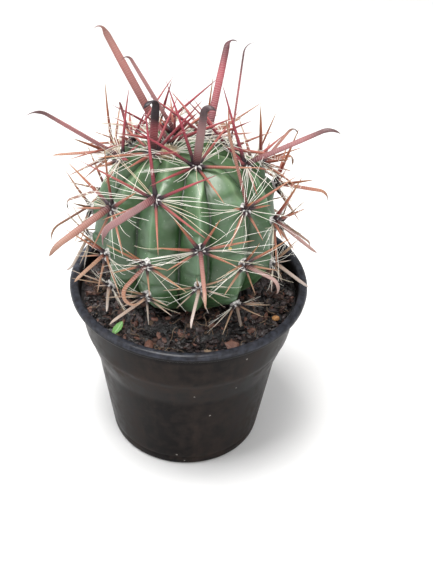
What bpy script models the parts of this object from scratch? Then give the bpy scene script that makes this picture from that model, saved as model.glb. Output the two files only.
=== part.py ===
"""A young hooked-spine barrel cactus in a round nursery pot."""

import math
import random

import bpy
import numpy as np

# Lengths below are in millimetres and become metres where a mesh is made.
metresPerUnit = 0.001

# Pot
potHeight = 113.0
lipRadius = 70.0
bandTopRadius = 66.0
bandLowRadius = 62.2
taperTopRadius = 55.2
footRadius = 46.3
wall = 1.3
floorThickness = 1.5
potSegments = 72
drainCount = 6
drainRadius = 4.5
drainCircle = 35.0

# Soil
soilHeight = 103.0
moundHeight = 111.0
moundInner = 38.0
moundOuter = 50.0
soilGap = 0.3

# Stem
ribCount = 11
stemAxis = (-2.5, 0.5)
crownShift = (-3.0, 3.0)
crownFocus = (-7.3, -5.7)
focusFrom = 190.0
stemFoot = 100.0
stemWaist = 141.0
stemTop = 198.0
crestRadius = 52.0
topRise = 57.0
topPower = 2.9
lowDrop = 38.0
footStemRadius = 31.0
valleyShare = 0.19

# Direction of each rib in degrees from the front, positive to the right,
# and how far it turns round the stem at its shoulder and near the crown
ribAngles = (8.0, 36.0, 65.0, 95.0, 130.0, 168.0, 205.0, 242.0, 274.0, 307.5, 338.0)
shoulderTurns = (4.0, 10.0, 14.0, 10.0, 6.0, 0.0, 0.0, 0.0, 0.0, 0.0, 0.0)
crownTurns = (45.0, 22.0, 22.0, 10.0, 4.0, 20.0, 0.0, 6.0, 2.0, 8.0, 18.0)

# Areole heights on each rib, from the crown down, starting with the rib nearest the front
areoleHeights = (
    (197.1, 169.5, 147.5),
    (182.5, 156.0, 125.0),
    (191.5, 167.5, 142.0),
    (194.3, 184.5, 172.5, 149.0),
    (195.6, 170.0, 143.0),
    (197.8, 196.5, 176.0, 148.0),
    (190.0, 167.0, 141.0),
    (194.0, 181.0, 155.0, 128.0),
    (197.9, 192.5, 162.0, 141.0),
    (179.0, 152.0, 129.5),
    (189.0, 158.5, 138.0),
)

# Hooked central spines: (lean from the surface normal, clock direction of the lean,
# straight length, clock direction of the hook, how far it turns, radius of the turn).
# Clock directions run clockwise from the crown, seen from outside.
hookShapes = {
    (0, 0): (9, 226, 36, 140, 150, 3.2),
    (0, 1): (23, 192, 28, 180, 50, 12.0),
    (0, 2): (21, 224, 19, 170, 40, 8.0),
    (1, 0): (52, 355, 56, 170, 20, 10.0),
    (1, 1): (18, 108, 18, 190, 120, 5.0),
    (1, 2): (39, 178, 12, 320, 30, 8.0),
    (2, 0): (33, 181, 44, 170, 80, 8.0),
    (2, 1): (40, 195, 22, 130, 40, 8.0),
    (2, 2): (30, 170, 16, 130, 40, 10.0),
    (3, 0): (16, 80, 50, 190, 80, 6.0),
    (3, 1): (47, 119, 26, 160, 90, 8.0),
    (3, 2): (26, 200, 25, 190, 90, 6.0),
    (3, 3): (36, 170, 20, 180, 60, 6.0),
    (4, 0): (31, 149, 50, 214, 110, 4.0),
    (4, 1): (34, 170, 34, 180, 100, 6.0),
    (4, 2): (42, 190, 24, 180, 60, 6.0),
    (5, 0): (24, 90, 14, 270, 80, 4.0),
    (5, 1): (36, 115, 44, 80, 140, 3.0),
    (5, 2): (34, 190, 36, 180, 100, 5.5),
    (5, 3): (36, 200, 30, 180, 90, 6.0),
    (6, 0): (18, 85, 61, 110, 120, 3.2),
    (6, 1): (30, 160, 36, 180, 100, 6.0),
    (6, 2): (40, 200, 26, 180, 60, 6.0),
    (7, 0): (24, 30, 22, 60, 60, 5.0),
    (7, 1): (44, 130, 29, 180, 20, 10.0),
    (7, 2): (36, 180, 28, 180, 90, 6.0),
    (7, 3): (44, 190, 20, 0, 60, 6.0),
    (8, 0): (17, 62, 32, 140, 140, 5.0),
    (8, 1): (25, 206, 43, 150, 70, 10.0),
    (8, 2): (36, 150, 18, 140, 70, 9.0),
    (8, 3): (58, 140, 16, 300, 50, 8.0),
    (9, 0): (38, 164, 33, 190, 60, 10.0),
    (9, 1): (32, 185, 16, 50, 40, 7.0),
    (9, 2): (46, 150, 10, 30, 40, 5.0),
    (10, 0): (56, 211, 33, 170, 70, 10.0),
    (10, 1): (38, 216, 14, 150, 200, 6.0),
    (10, 2): (38, 235, 20, 55, 30, 8.0),
}

# The six straight spines of an areole: (clock direction, lean, share of the length)
straightFan = (
    (352, 56, 1.00),
    (58, 68, 0.92),
    (108, 77, 0.84),
    (168, 80, 0.74),
    (236, 76, 0.72),
    (292, 64, 1.00),
)

# Areoles whose straight spines stand their own way: (clock direction, lean, length)
ownFans = {
    (0, 0): ((303, 56, 46), (2, 40, 45), (95, 48, 36), (150, 80, 34), (199, 92, 33), (271, 86, 34)),
    (0, 1): ((21, 61, 26), (80, 78, 29), (110, 68, 21), (245, 78, 21), (282, 75, 26), (326, 69, 28)),
    (1, 0): ((350, 50, 36), (80, 56, 31), (110, 72, 14), (180, 86, 18), (240, 83, 27), (291, 77, 10)),
    (2, 0): ((10, 46, 46), (120, 60, 30), (180, 75, 14), (250, 88, 26), (309, 63, 20), (350, 70, 16)),
    (8, 1): ((340, 50, 38), (17, 81, 18), (60, 80, 26), (120, 88, 20), (160, 70, 14), (250, 80, 22)),
    (10, 0): ((343, 56, 49), (65, 66, 37), (116, 74, 42), (157, 78, 36), (225, 82, 28), (275, 60, 43)),
    (10, 1): ((331, 58, 20), (74, 76, 16), (95, 73, 30), (160, 72, 16), (250, 70, 18), (298, 76, 23)),
}

# Lowest height of crimson, salmon and tan spines, and the longest straight spine of each age
ageHeights = (186.0, 163.0, 150.0)
straightLengths = (42.0, 36.0, 28.0, 23.0)
straightThickness = 0.85
hookHalfWidth = 1.7
stubLength = 5.5
padRadius = 2.8
padTopRadius = 1.6
padLift = 0.35
padHeight = 2.3
spineClearance = 0.6


def smooth(value):
    value = np.clip(value, 0.0, 1.0)
    return value * value * (3.0 - 2.0 * value)


def crestAt(height):
    """Radius of the rib crests at a height."""
    above = 1.0 - np.clip((height - stemWaist) / topRise, 0.0, 1.0) ** topPower
    below = 1.0 - np.clip((stemWaist - height) / lowDrop, 0.0, 1.0) ** 1.9
    top = crestRadius * above ** (1 / topPower)
    low = np.maximum(crestRadius * below ** (1 / 1.9), footStemRadius)
    return np.where(height > stemWaist, top, low)


def axisAt(height):
    """The stem's centre at a height: the crown sits slightly off the foot."""
    share = np.clip((height - 150.0) / 48.0, 0.0, 1.0) ** 2
    near = np.clip((height - focusFrom) / (stemTop - focusFrom), 0.0, 1.0) ** 2
    return (
        stemAxis[0] + crownShift[0] * share + crownFocus[0] * near,
        stemAxis[1] + crownShift[1] * share + crownFocus[1] * near,
    )


def ribDirections(height):
    """Directions of the ribs at a height, from the first round to it again."""
    height = np.asarray(height, float)[..., None]
    shoulder = smooth((height - 160.0) / 28.0)
    crown = np.clip((height - 175.0) / 23.0, 0.0, 1.0) ** 6
    turned = np.array(ribAngles) + np.array(shoulderTurns) * shoulder + np.array(crownTurns) * crown
    return np.concatenate([turned, turned[..., :1] + 360.0], axis=-1)


def ribPlace(height, angle):
    """The nearest rib to a direction, and how far towards the valley: 0 on the crest, 1 in the valley."""
    directions = ribDirections(height)
    first = directions[..., 0]
    angle = first + np.mod(angle - first, 360.0)
    before = np.clip((angle[..., None] >= directions).sum(axis=-1) - 1, 0, ribCount - 1)
    start = np.take_along_axis(directions, before[..., None], -1)[..., 0]
    end = np.take_along_axis(directions, before[..., None] + 1, -1)[..., 0]
    share = (angle - start) / (end - start)
    return np.mod(before + (share > 0.5), ribCount), 2.0 * np.minimum(share, 1.0 - share)


def ribBump(rib, height):
    """Swelling of one rib's crest at its areoles."""
    total = 0.0
    for areoleHeight in areoleHeights[rib]:
        total = total + 1.5 * np.exp(-(((height - areoleHeight) / 5.5) ** 2))
    return total * smooth((height - 108.0) / 12.0) * smooth((193.0 - height) / 8.0)


def ribbedRadius(height, index, side):
    """Radius of the ribbed surface, from the nearest rib and how far towards the valley."""
    shareHere = valleyShare * (0.45 + 0.55 * smooth((height - 104.0) / 22.0))
    shareHere = shareHere + 0.10 * smooth((height - 180.0) / 14.0)
    radius = crestAt(height) * (1.0 - shareHere * side**1.4)
    for rib in range(ribCount):
        lift = ribBump(rib, height) * (1.0 - side) ** 2
        radius = np.where(index == rib, radius + lift, radius)
    return radius


def stemRadius(height, angle):
    """Radius of the ribbed surface at a height and an angle in degrees from the front."""
    return ribbedRadius(height, *ribPlace(height, angle))


def addMesh(name, points, faces, colour, roughness):
    """One object from points in millimetres."""
    mesh = bpy.data.meshes.new(name)
    scaled = [tuple(float(c) * metresPerUnit for c in p) for p in points]
    mesh.from_pydata(scaled, [], faces)
    mesh.validate()
    obj = bpy.data.objects.new(name, mesh)
    bpy.context.scene.collection.objects.link(obj)
    material = bpy.data.materials.new(name + "_material")
    material.use_nodes = True
    shader = material.node_tree.nodes["Principled BSDF"]
    shader.inputs["Base Color"].default_value = (*colour, 1.0)
    shader.inputs["Roughness"].default_value = roughness
    shader.inputs["Metallic"].default_value = 0.0
    material.diffuse_color = (*colour, 1.0)
    mesh.materials.append(material)
    mesh.polygons.foreach_set("use_smooth", [True] * len(mesh.polygons))
    return obj


def latheClosed(profile, segments):
    """Turns a profile that starts and ends on the axis into a closed mesh."""
    points = [(0.0, 0.0, profile[0][1])]
    faces = []
    inner = profile[1:-1]
    for radius, height in inner:
        for step in range(segments):
            angle = 2 * math.pi * step / segments
            points.append((radius * math.cos(angle), radius * math.sin(angle), height))
    points.append((0.0, 0.0, profile[-1][1]))
    last = len(points) - 1
    for step in range(segments):
        following = (step + 1) % segments
        faces.append((0, 1 + following, 1 + step))
        for row in range(len(inner) - 1):
            a = 1 + row * segments
            b = a + segments
            faces.append((a + step, a + following, b + following, b + step))
        top = 1 + (len(inner) - 1) * segments
        faces.append((last, top + step, top + following))
    return points, faces


def stemMesh(grow):
    """The ribbed stem, or with grow a slightly larger copy of it."""
    perRib = 6
    segments = ribCount * perRib
    lowRows = np.linspace(stemFoot - grow, stemWaist - 6.0, 8)
    topRows = stemWaist + (stemTop - stemWaist) * np.sin(np.radians(np.linspace(0, 84, 13)))
    rows = np.concatenate([lowRows, topRows])
    slots = np.arange(segments) / perRib
    nearest = np.round(slots)
    side = np.abs(slots - nearest) * 2.0
    index = np.mod(nearest, ribCount).astype(int)
    points = []
    for height in rows:
        heights = np.full(segments, height)
        radii = ribbedRadius(heights, index, side) + grow
        directions = ribDirections(height)
        angles = np.interp(slots, np.arange(ribCount + 1), directions)
        axis = axisAt(height)
        for radius, angle in zip(radii, np.radians(angles)):
            points.append(
                (
                    axis[0] + radius * math.sin(angle),
                    axis[1] - radius * math.cos(angle),
                    height,
                )
            )
    bottom = len(points)
    points.append((stemAxis[0], stemAxis[1], rows[0]))
    peak = axisAt(stemTop)
    points.append((peak[0], peak[1], stemTop + grow))
    faces = []
    for row in range(len(rows) - 1):
        for step in range(segments):
            following = (step + 1) % segments
            a = row * segments
            b = a + segments
            faces.append((a + step, a + following, b + following, b + step))
    top = (len(rows) - 1) * segments
    for step in range(segments):
        following = (step + 1) % segments
        faces.append((bottom, following, step))
        faces.append((bottom + 1, top + step, top + following))
    return points, faces


def areoleFrame(rib, level):
    """Centre, outward normal, direction to the crown and sideways direction of an areole."""
    height = areoleHeights[rib][level]

    def crestPoint(z):
        angle = math.radians(float(ribDirections(z)[rib]))
        radius = float(crestAt(z) + ribBump(rib, z))
        axis = axisAt(z)
        return np.array([axis[0] + radius * math.sin(angle), axis[1] - radius * math.cos(angle), z])

    angle = math.radians(float(ribDirections(height)[rib]))
    sideways = np.array([math.cos(angle), math.sin(angle), 0.0])
    upward = crestPoint(min(height + 2.0, stemTop)) - crestPoint(height - 2.0)
    upward = upward - sideways * np.dot(upward, sideways)
    upward = upward / np.linalg.norm(upward)
    normal = np.cross(sideways, upward)
    normal = normal / np.linalg.norm(normal)
    return crestPoint(height), normal, upward, sideways


def leaning(frame, lean, clock):
    """Unit direction that leans from the normal towards a clock direction."""
    _, normal, upward, sideways = frame
    a = math.radians(lean)
    c = math.radians(clock)
    flat = math.cos(c) * upward + math.sin(c) * sideways
    return math.cos(a) * normal + math.sin(a) * flat


def spineAge(rib, level):
    """0 for the youngest spines at the crown, up to 3 for the oldest."""
    return sum(areoleHeights[rib][level] < limit for limit in ageHeights)


def straightLine(frame, lean, clock, length):
    start = frame[0] + frame[1] * (padLift + padHeight * 0.5)
    return start + np.outer([0.0, 0.22, 1.0], leaning(frame, lean, clock) * length)


def hookLine(frame, shape):
    """Points down the middle of a hooked spine, and its last turning axis."""
    lean, clock, length, hookClock, turn, radius = shape
    start = frame[0] + frame[1] * (padLift + padHeight)
    heading = leaning(frame, lean, clock)
    aside = leaning(frame, 90.0, hookClock)
    inward = aside - heading * np.dot(aside, heading)
    inward = inward / np.linalg.norm(inward)
    points = [start, start + heading * length * 0.2, start + heading * length]
    centre = points[-1] + inward * radius
    steps = max(3, int(round(turn / 32.0)))
    for step in range(1, steps + 1):
        a = math.radians(turn) * step / steps
        points.append(centre - inward * radius * math.cos(a) + heading * radius * math.sin(a))
    return np.array(points), inward


def sampled(points, spacing=1.0):
    """Points about one spacing apart along a line."""
    found = [points[0]]
    for a, b in zip(points[:-1], points[1:]):
        count = max(1, int(np.linalg.norm(b - a) / spacing))
        found.extend(a + (b - a) * step / count for step in range(1, count + 1))
    return np.array(found)


def insideStem(points, margin):
    """True where a point is in the stem, or nearer than the margin."""
    found = np.zeros(len(points), bool)
    for drop, inward in ((0.0, margin), (margin, 0.0), (-margin, 0.0)):
        height = points[:, 2] - drop
        axisX, axisY = axisAt(height)
        x = points[:, 0] - axisX
        y = points[:, 1] - axisY
        angle = np.degrees(np.arctan2(x, -y))
        reach = stemRadius(height, angle) + inward
        found |= (np.hypot(x, y) < reach) & (height < stemTop) & (height > stemFoot)
    return found


def soilAt(radius):
    return soilHeight + (moundHeight - soilHeight) * smooth(
        (moundOuter - radius) / (moundOuter - moundInner)
    )


def blocked(points, halfWidths, fixed, fixedWidths, own):
    """True when a spine meets the stem, the soil, the pot or another spine."""
    away = np.linalg.norm(points - own, axis=1)
    free = away > 6.0
    if free.any() and insideStem(points[free], 1.3).any():
        return True
    radius = np.hypot(points[:, 0], points[:, 1])
    lowest = np.where(radius > moundOuter, potHeight + 1.0, soilAt(radius) + 2.0)
    if (points[:, 2] < lowest).any():
        return True
    if not len(fixed):
        return False
    gap = np.linalg.norm(points[:, None] - fixed[None], axis=2)
    need = halfWidths[:, None] + fixedWidths[None] + spineClearance
    return bool(((gap < need) & free[:, None]).any())


def spineWidths(count, base):
    return np.linspace(base, 0.3, count)


def layOut():
    """Frames, hooks and straight spines of every areole, bent aside where they would meet."""
    dice = random.Random(29)
    clusters = []
    fixed = np.zeros((0, 3))
    fixedWidths = np.zeros(0)
    order = []
    for rib, heights in enumerate(areoleHeights):
        for level in range(len(heights)):
            frame = areoleFrame(rib, level)
            order.append((rib, level, frame))
            pad = frame[0] + frame[1] * (padLift + 1.0)
            fixed = np.vstack([fixed, pad])
            fixedWidths = np.append(fixedWidths, padRadius + 0.4)
    hooks = {}
    for rib, level, frame in order:
        shape = hookShapes[(rib, level)]
        for attempt in range(60):
            swing = dice.uniform(-1, 1) * attempt * 1.2
            tilt = dice.uniform(-1, 1) * attempt * 0.8
            shorter = 1.0 - 0.006 * attempt
            trial = (shape[0] + tilt, shape[1] + swing, shape[2] * shorter, *shape[3:])
            line, inward = hookLine(frame, trial)
            points = sampled(line)
            widths = spineWidths(len(points), hookHalfWidth)
            if not blocked(points, widths, fixed, fixedWidths, frame[0]):
                break
        hooks[(rib, level)] = trial
        fixed = np.vstack([fixed, points])
        fixedWidths = np.append(fixedWidths, widths)
    for rib, level, frame in order:
        straights = []
        longest = straightLengths[spineAge(rib, level)]
        general = [(clock, lean, longest * share) for clock, lean, share in straightFan]
        fan = ownFans.get((rib, level), general)
        loose = 0.3 if (rib, level) in ownFans else 1.0
        for clock, lean, length in fan:
            full = length * (1.0 + loose * dice.uniform(-0.12, 0.12))
            baseClock = clock + loose * dice.uniform(-9, 9)
            baseLean = lean + loose * dice.uniform(-5, 3)
            for attempt in range(80):
                swing = dice.uniform(-1, 1) * attempt * 0.5
                tilt = -abs(dice.uniform(-1, 1)) * attempt * 0.5
                length = full * (1.0 - 0.009 * attempt)
                trial = (baseLean + tilt, baseClock + swing, length)
                points = sampled(straightLine(frame, *trial))
                widths = spineWidths(len(points), straightThickness * 1.2)
                if not blocked(points, widths, fixed, fixedWidths, frame[0]):
                    break
            else:
                trial = (baseLean * 0.5, baseClock, stubLength)
                points = sampled(straightLine(frame, *trial))
                widths = spineWidths(len(points), straightThickness * 1.2)
            straights.append(trial)
            fixed = np.vstack([fixed, points])
            fixedWidths = np.append(fixedWidths, widths)
        clusters.append((rib, level, frame, hooks[(rib, level)], straights))
    return clusters


def clusterMesh(frame, hook, straights):
    """A six-sided areole pad with a straight spine on each side and the hook on top."""
    centre, normal, upward, sideways = frame

    def flat(clock):
        return math.cos(math.radians(clock)) * upward + math.sin(math.radians(clock)) * sideways

    points = []
    corners = [30 + 60 * k for k in range(6)]
    points.extend(centre + normal * padLift + flat(c) * padRadius for c in corners)
    points.extend(
        centre + normal * (padLift + padHeight) + flat(c) * padTopRadius for c in corners
    )
    faces = [tuple(reversed(range(6)))]
    for k, (lean, clock, length) in enumerate(straights):
        right = k
        left = (k + 5) % 6
        ring = [left, right, right + 6, left + 6]
        line = straightLine(frame, lean, clock, length)
        heading = line[-1] - line[0]
        heading = heading / np.linalg.norm(heading)
        across = points[right] - points[left]
        across = across - heading * np.dot(across, heading)
        across = across / np.linalg.norm(across)
        rise = np.cross(across, heading)
        if np.dot(rise, normal) < 0:
            rise = -rise
        for station, half in ((1, straightThickness), (2, 0.18)):
            first = len(points)
            for sideSign, riseSign in ((-1, -1), (1, -1), (1, 1), (-1, 1)):
                points.append(
                    line[station] + across * half * sideSign + rise * half * riseSign
                )
            for j in range(4):
                i = (j + 1) % 4
                faces.append((ring[j], ring[i], first + i, first + j))
            ring = [first + j for j in range(4)]
        faces.append(tuple(ring))
    line, inward = hookLine(frame, hook)
    ring = [6 + k for k in range(6)]
    axes = [upward, sideways]
    before = normal
    for station in range(1, len(line)):
        here = line[station] - line[station - 1]
        if station + 1 < len(line):
            after = line[station + 1] - line[station]
            here = here / np.linalg.norm(here) + after / np.linalg.norm(after)
        here = here / np.linalg.norm(here)
        turnAxis = np.cross(before, here)
        sine = np.linalg.norm(turnAxis)
        if sine > 1e-6:
            turnAxis = turnAxis / sine
            angle = math.atan2(sine, float(np.dot(before, here)))
            axes = [
                v * math.cos(angle)
                + np.cross(turnAxis, v) * math.sin(angle)
                + turnAxis * np.dot(turnAxis, v) * (1 - math.cos(angle))
                for v in axes
            ]
        before = here
        wide = np.cross(here, inward)
        wide = wide / np.linalg.norm(wide)
        thin = np.cross(wide, here)
        share = station / (len(line) - 1)
        half = hookHalfWidth * (1.0 - 0.25 * share) if station + 1 < len(line) else 0.35
        first = len(points)
        for c in corners:
            offset = math.cos(math.radians(c)) * axes[0] + math.sin(math.radians(c)) * axes[1]
            offset = offset - thin * np.dot(offset, thin) * 0.5
            points.append(line[station] + offset * half)
        for j in range(6):
            i = (j + 1) % 6
            faces.append((ring[j], ring[i], first + i, first + j))
        ring = [first + j for j in range(6)]
    faces.append(tuple(ring))
    return points, faces


def outwardFaces(points, faces):
    """The same faces, all turned round if the closed mesh is inside out."""
    points = np.array(points)
    volume = 0.0
    for face in faces:
        for k in range(1, len(face) - 1):
            a, b, c = points[face[0]], points[face[k]], points[face[k + 1]]
            volume += np.dot(a, np.cross(b, c))
    return faces if volume > 0 else [tuple(reversed(face)) for face in faces]


def chipMesh(centre, turn, size, dice):
    """A flat irregular chip lying on the soil."""
    length, width, height = size
    points = []
    for z, shrink in ((0.0, 0.85), (height * 0.5, 1.0), (height, 0.7)):
        for k in range(7):
            a = 2 * math.pi * k / 7
            reach = shrink * dice.uniform(0.82, 1.1)
            x = math.cos(a) * length * 0.5 * reach
            y = math.sin(a) * width * 0.5 * reach
            c, s = math.cos(turn), math.sin(turn)
            points.append((centre[0] + x * c - y * s, centre[1] + x * s + y * c, centre[2] + z))
    faces = [tuple(reversed(range(7))), tuple(range(14, 21))]
    for row in range(2):
        for k in range(7):
            i = (k + 1) % 7
            faces.append((row * 7 + k, row * 7 + i, row * 7 + 7 + i, row * 7 + 7 + k))
    return points, faces


def wallRadius(height):
    """Outer radius of the pot below its lip."""
    heights = (0.0, 3.0, 62.0, 81.5, 84.0, 108.0)
    radii = (footRadius, footRadius + 0.7, taperTopRadius, 61.2, bandLowRadius, bandTopRadius)
    return float(np.interp(height, heights, radii))


for old in list(bpy.data.objects):
    bpy.data.objects.remove(old)

# The pot: a thin tapered wall, a band under a lip rolled over and down, and a flat floor.
outerHeights = (0.0, 3.0, 30.0, 62.0, 81.5, 84.0, 108.0)
potProfile = [(0.0, 0.0), (footRadius - 1.0, 0.0)]
potProfile += [(wallRadius(z) + (0.0 if z else -0.2), max(z, 0.8)) for z in outerHeights]
potProfile += [
    (bandTopRadius + 0.6, 110.9),
    (lipRadius - 1.6, 110.9),
    (lipRadius - 1.4, 108.6),
    (lipRadius - 0.3, 108.6),
    (lipRadius, 109.6),
    (lipRadius - 0.3, 111.8),
    (lipRadius - 1.6, 112.8),
    (lipRadius - 3.2, potHeight),
    (bandTopRadius + 0.2, 112.4),
    (bandTopRadius - wall, 110.4),
]
innerHeights = (108.0, 84.0, 81.5, 62.0, 30.0, 4.0)
potProfile += [(wallRadius(z) - wall, z) for z in innerHeights]
potProfile += [(wallRadius(floorThickness) - wall - 1.2, floorThickness), (0.0, floorThickness)]
potPoints, potFaces = latheClosed(potProfile, potSegments)
pot = addMesh(
    "nursery_pot", potPoints, outwardFaces(potPoints, potFaces), (0.012, 0.013, 0.015), 0.38
)

# Drain holes near the edge of the floor
drainPoints = []
drainFaces = []
for hole in range(drainCount):
    angle = 2 * math.pi * (hole + 0.5) / drainCount
    first = len(drainPoints)
    for z in (-3.0, 6.0):
        for k in range(16):
            a = 2 * math.pi * k / 16
            drainPoints.append(
                (
                    drainCircle * math.cos(angle) + drainRadius * math.cos(a),
                    drainCircle * math.sin(angle) + drainRadius * math.sin(a),
                    z,
                )
            )
    drainFaces.append(tuple(first + k for k in reversed(range(16))))
    drainFaces.append(tuple(first + 16 + k for k in range(16)))
    for k in range(16):
        i = (k + 1) % 16
        drainFaces.append((first + k, first + i, first + 16 + i, first + 16 + k))
drain = addMesh("drain_cutter", drainPoints, drainFaces, (0.5, 0.5, 0.5), 0.5)
drain.hide_render = True
drain.display_type = "WIRE"
cut = pot.modifiers.new("drain_holes", "BOOLEAN")
cut.operation = "DIFFERENCE"
cut.solver = "EXACT"
cut.object = drain

# The soil: fills the pot inside and rises to a low mound round the stem.
soilDice = random.Random(7)
soilRims = (0.0, 12.0, 24.0, 32.0, 38.0, 42.0, 46.0, 50.0, 54.0, 58.0, 61.5)
soilSide = [(wallRadius(z) - wall - soilGap, z) for z in (30.0, 62.0, 81.5, 84.0, 101.5)]
soilBottom = floorThickness + soilGap
soilProfile = [(0.0, soilBottom), (wallRadius(4.0) - wall - soilGap - 2.2, soilBottom)]
soilProfile += [(wallRadius(5.0) - wall - soilGap, 5.0)] + soilSide
soilProfile += [(r, float(soilAt(r))) for r in reversed(soilRims)]
soilPoints, soilFaces = latheClosed(soilProfile, potSegments)
loose = []
for x, y, z in soilPoints:
    radius = math.hypot(x, y)
    bumpy = z > 102.0 and radius < 62.0
    loose.append((x, y, z + (soilDice.uniform(-0.7, 0.7) if bumpy else 0.0)))
soil = addMesh(
    "potting_soil", loose, outwardFaces(loose, soilFaces), (0.035, 0.024, 0.018), 0.95
)

# The stem, and the pocket it leaves in the soil
stemPoints, stemFaces = stemMesh(0.0)
addMesh("cactus_stem", stemPoints, outwardFaces(stemPoints, stemFaces), (0.10, 0.24, 0.09), 0.5)
pocketPoints, pocketFaces = stemMesh(0.4)
pocket = addMesh(
    "pocket_cutter", pocketPoints, outwardFaces(pocketPoints, pocketFaces), (0.5, 0.5, 0.5), 0.5
)
pocket.hide_render = True
pocket.display_type = "WIRE"
cut = soil.modifiers.new("stem_pocket", "BOOLEAN")
cut.operation = "DIFFERENCE"
cut.solver = "EXACT"
cut.object = pocket

# Wool on the crown
crownAxis = axisAt(stemTop)
woolProfile = ((0.0, 0.0), (4.0, 0.0), (4.7, 0.8), (3.9, 2.0), (2.1, 2.7), (0.0, 2.9))
woolPoints, woolFaces = latheClosed(woolProfile, 18)
woolPoints = [
    (x + crownAxis[0], y + crownAxis[1], z + stemTop + 0.35) for x, y, z in woolPoints
]
addMesh("crown_wool", woolPoints, outwardFaces(woolPoints, woolFaces), (0.62, 0.50, 0.33), 0.95)

# Areoles with their spines
ageColours = ((0.36, 0.07, 0.10), (0.42, 0.13, 0.09), (0.45, 0.24, 0.13), (0.42, 0.32, 0.22))
for rib, level, frame, hook, straights in layOut():
    points, faces = clusterMesh(frame, hook, straights)
    name = f"spine_cluster_r{rib + 1:02d}_{level + 1}"
    addMesh(name, points, outwardFaces(points, faces), ageColours[spineAge(rib, level)], 0.45)

# Loose litter on the soil: (name, angle from the front, radius, size, colour)
litter = (
    ("bark_chip_1", -22.0, 56.0, (11.0, 7.0, 2.6), (0.09, 0.045, 0.03)),
    ("bark_chip_2", 27.0, 56.0, (12.0, 6.5, 2.4), (0.07, 0.04, 0.028)),
    ("bark_chip_3", 118.0, 56.0, (10.0, 7.0, 2.8), (0.08, 0.04, 0.03)),
    ("bark_chip_4", -118.0, 56.0, (12.0, 7.0, 2.4), (0.06, 0.035, 0.026)),
    ("pebble", 62.0, 57.0, (5.0, 4.2, 2.6), (0.55, 0.27, 0.10)),
    ("leaf_fragment", -45.0, 55.0, (10.0, 6.0, 1.0), (0.16, 0.42, 0.12)),
)
litterDice = random.Random(5)
for name, azimuth, radius, size, colour in litter:
    a = math.radians(azimuth)
    place = (radius * math.sin(a), -radius * math.cos(a), soilHeight + 1.1)
    points, faces = chipMesh(place, litterDice.uniform(0, math.pi), size, litterDice)
    addMesh(name, points, outwardFaces(points, faces), colour, 0.85)
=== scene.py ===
import math
import random

import bpy
import numpy as np
from mathutils import Matrix, Vector, noise


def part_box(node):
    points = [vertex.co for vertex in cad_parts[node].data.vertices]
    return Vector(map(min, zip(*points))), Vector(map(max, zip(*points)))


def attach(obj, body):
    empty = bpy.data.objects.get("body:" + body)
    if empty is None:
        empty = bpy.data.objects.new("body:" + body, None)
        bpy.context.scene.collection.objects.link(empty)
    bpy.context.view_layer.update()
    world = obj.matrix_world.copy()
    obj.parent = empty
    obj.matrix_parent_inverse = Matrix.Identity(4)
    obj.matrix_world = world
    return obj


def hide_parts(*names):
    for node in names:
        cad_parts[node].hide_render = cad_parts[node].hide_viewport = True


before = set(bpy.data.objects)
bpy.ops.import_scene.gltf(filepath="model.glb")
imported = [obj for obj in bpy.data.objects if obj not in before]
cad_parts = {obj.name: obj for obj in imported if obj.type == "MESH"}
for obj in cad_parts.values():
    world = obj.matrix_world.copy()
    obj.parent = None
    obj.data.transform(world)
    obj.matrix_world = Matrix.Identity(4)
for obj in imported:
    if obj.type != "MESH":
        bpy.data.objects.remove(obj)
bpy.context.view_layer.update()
mm = 0.001  # lengths of the object are in millimetres

potLow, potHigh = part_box("nursery_pot")
lipRadius = (potHigh.x - potLow.x) / 2 / mm
potHeight = potHigh.z / mm

pot = {
    "bandTop": 66.0,
    "bandLow": 62.2,
    "taperTop": 55.2,
    "foot": 46.3,
    "wall": 1.3,
    "floor": 1.5,
    "segments": 240,
    "drainCount": 6,
    "drainRadius": 4.5,
    "drainCircle": 35.0,
}

soil = {
    "height": 103.0,
    "mound": 111.0,
    "moundInner": 38.0,
    "moundOuter": 50.0,
    "reach": 63.6,
    "chips": 2000,
    "chipLength": (2.2, 8.5, 3.4),
    "crumbs": 2600,
    "crumbLength": (0.9, 2.6, 1.5),
    "fibres": 150,
    "redBelow": 0.24,
    "paleBelow": 0.26,
}

crown = {
    "rings": ((5.4, -0.6), (5.1, 0.4), (4.1, 1.3), (2.7, 2.0), (1.1, 2.4)),
    "sides": 22,
    "fibres": 900,
    "bristles": 26,
    "bristleReach": (12.0, 24.0),
}

stone = {"radii": (2.4, 1.9, 1.4), "rows": 9, "columns": 16}

leaf = {
    "length": 10.0,
    "half": 2.3,
    "thick": 0.28,
    "rows": 15,
    "columns": 9,
    "heading": 62.0,
    "slope": -12.0,
}

# Strength of the sky, and each light's place, target and size in metres, its power and its colour
studio = {
    "sky": 0.52,
    "topSoftbox": ((-0.15, -0.10, 1.15), (0, 0, 0.14), (0.5, 0.5), 15.0, (1.0, 0.99, 0.97)),
    "frontFill": ((0.55, -0.95, 0.62), (0, 0, 0.12), (0.7, 0.7), 4.5, (1.0, 0.99, 0.98)),
    "leftFill": ((-0.95, -0.25, 0.55), (0, 0, 0.12), (0.6, 0.8), 4.0, (0.95, 0.97, 1.0)),
}

# The camera: distance in metres from the middle of the lip, angles in degrees
view = {"lens": 62.4, "distance": 0.590, "elevation": 38.56, "pan": 2.04, "down": 39.2, "roll": 2.84}

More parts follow.
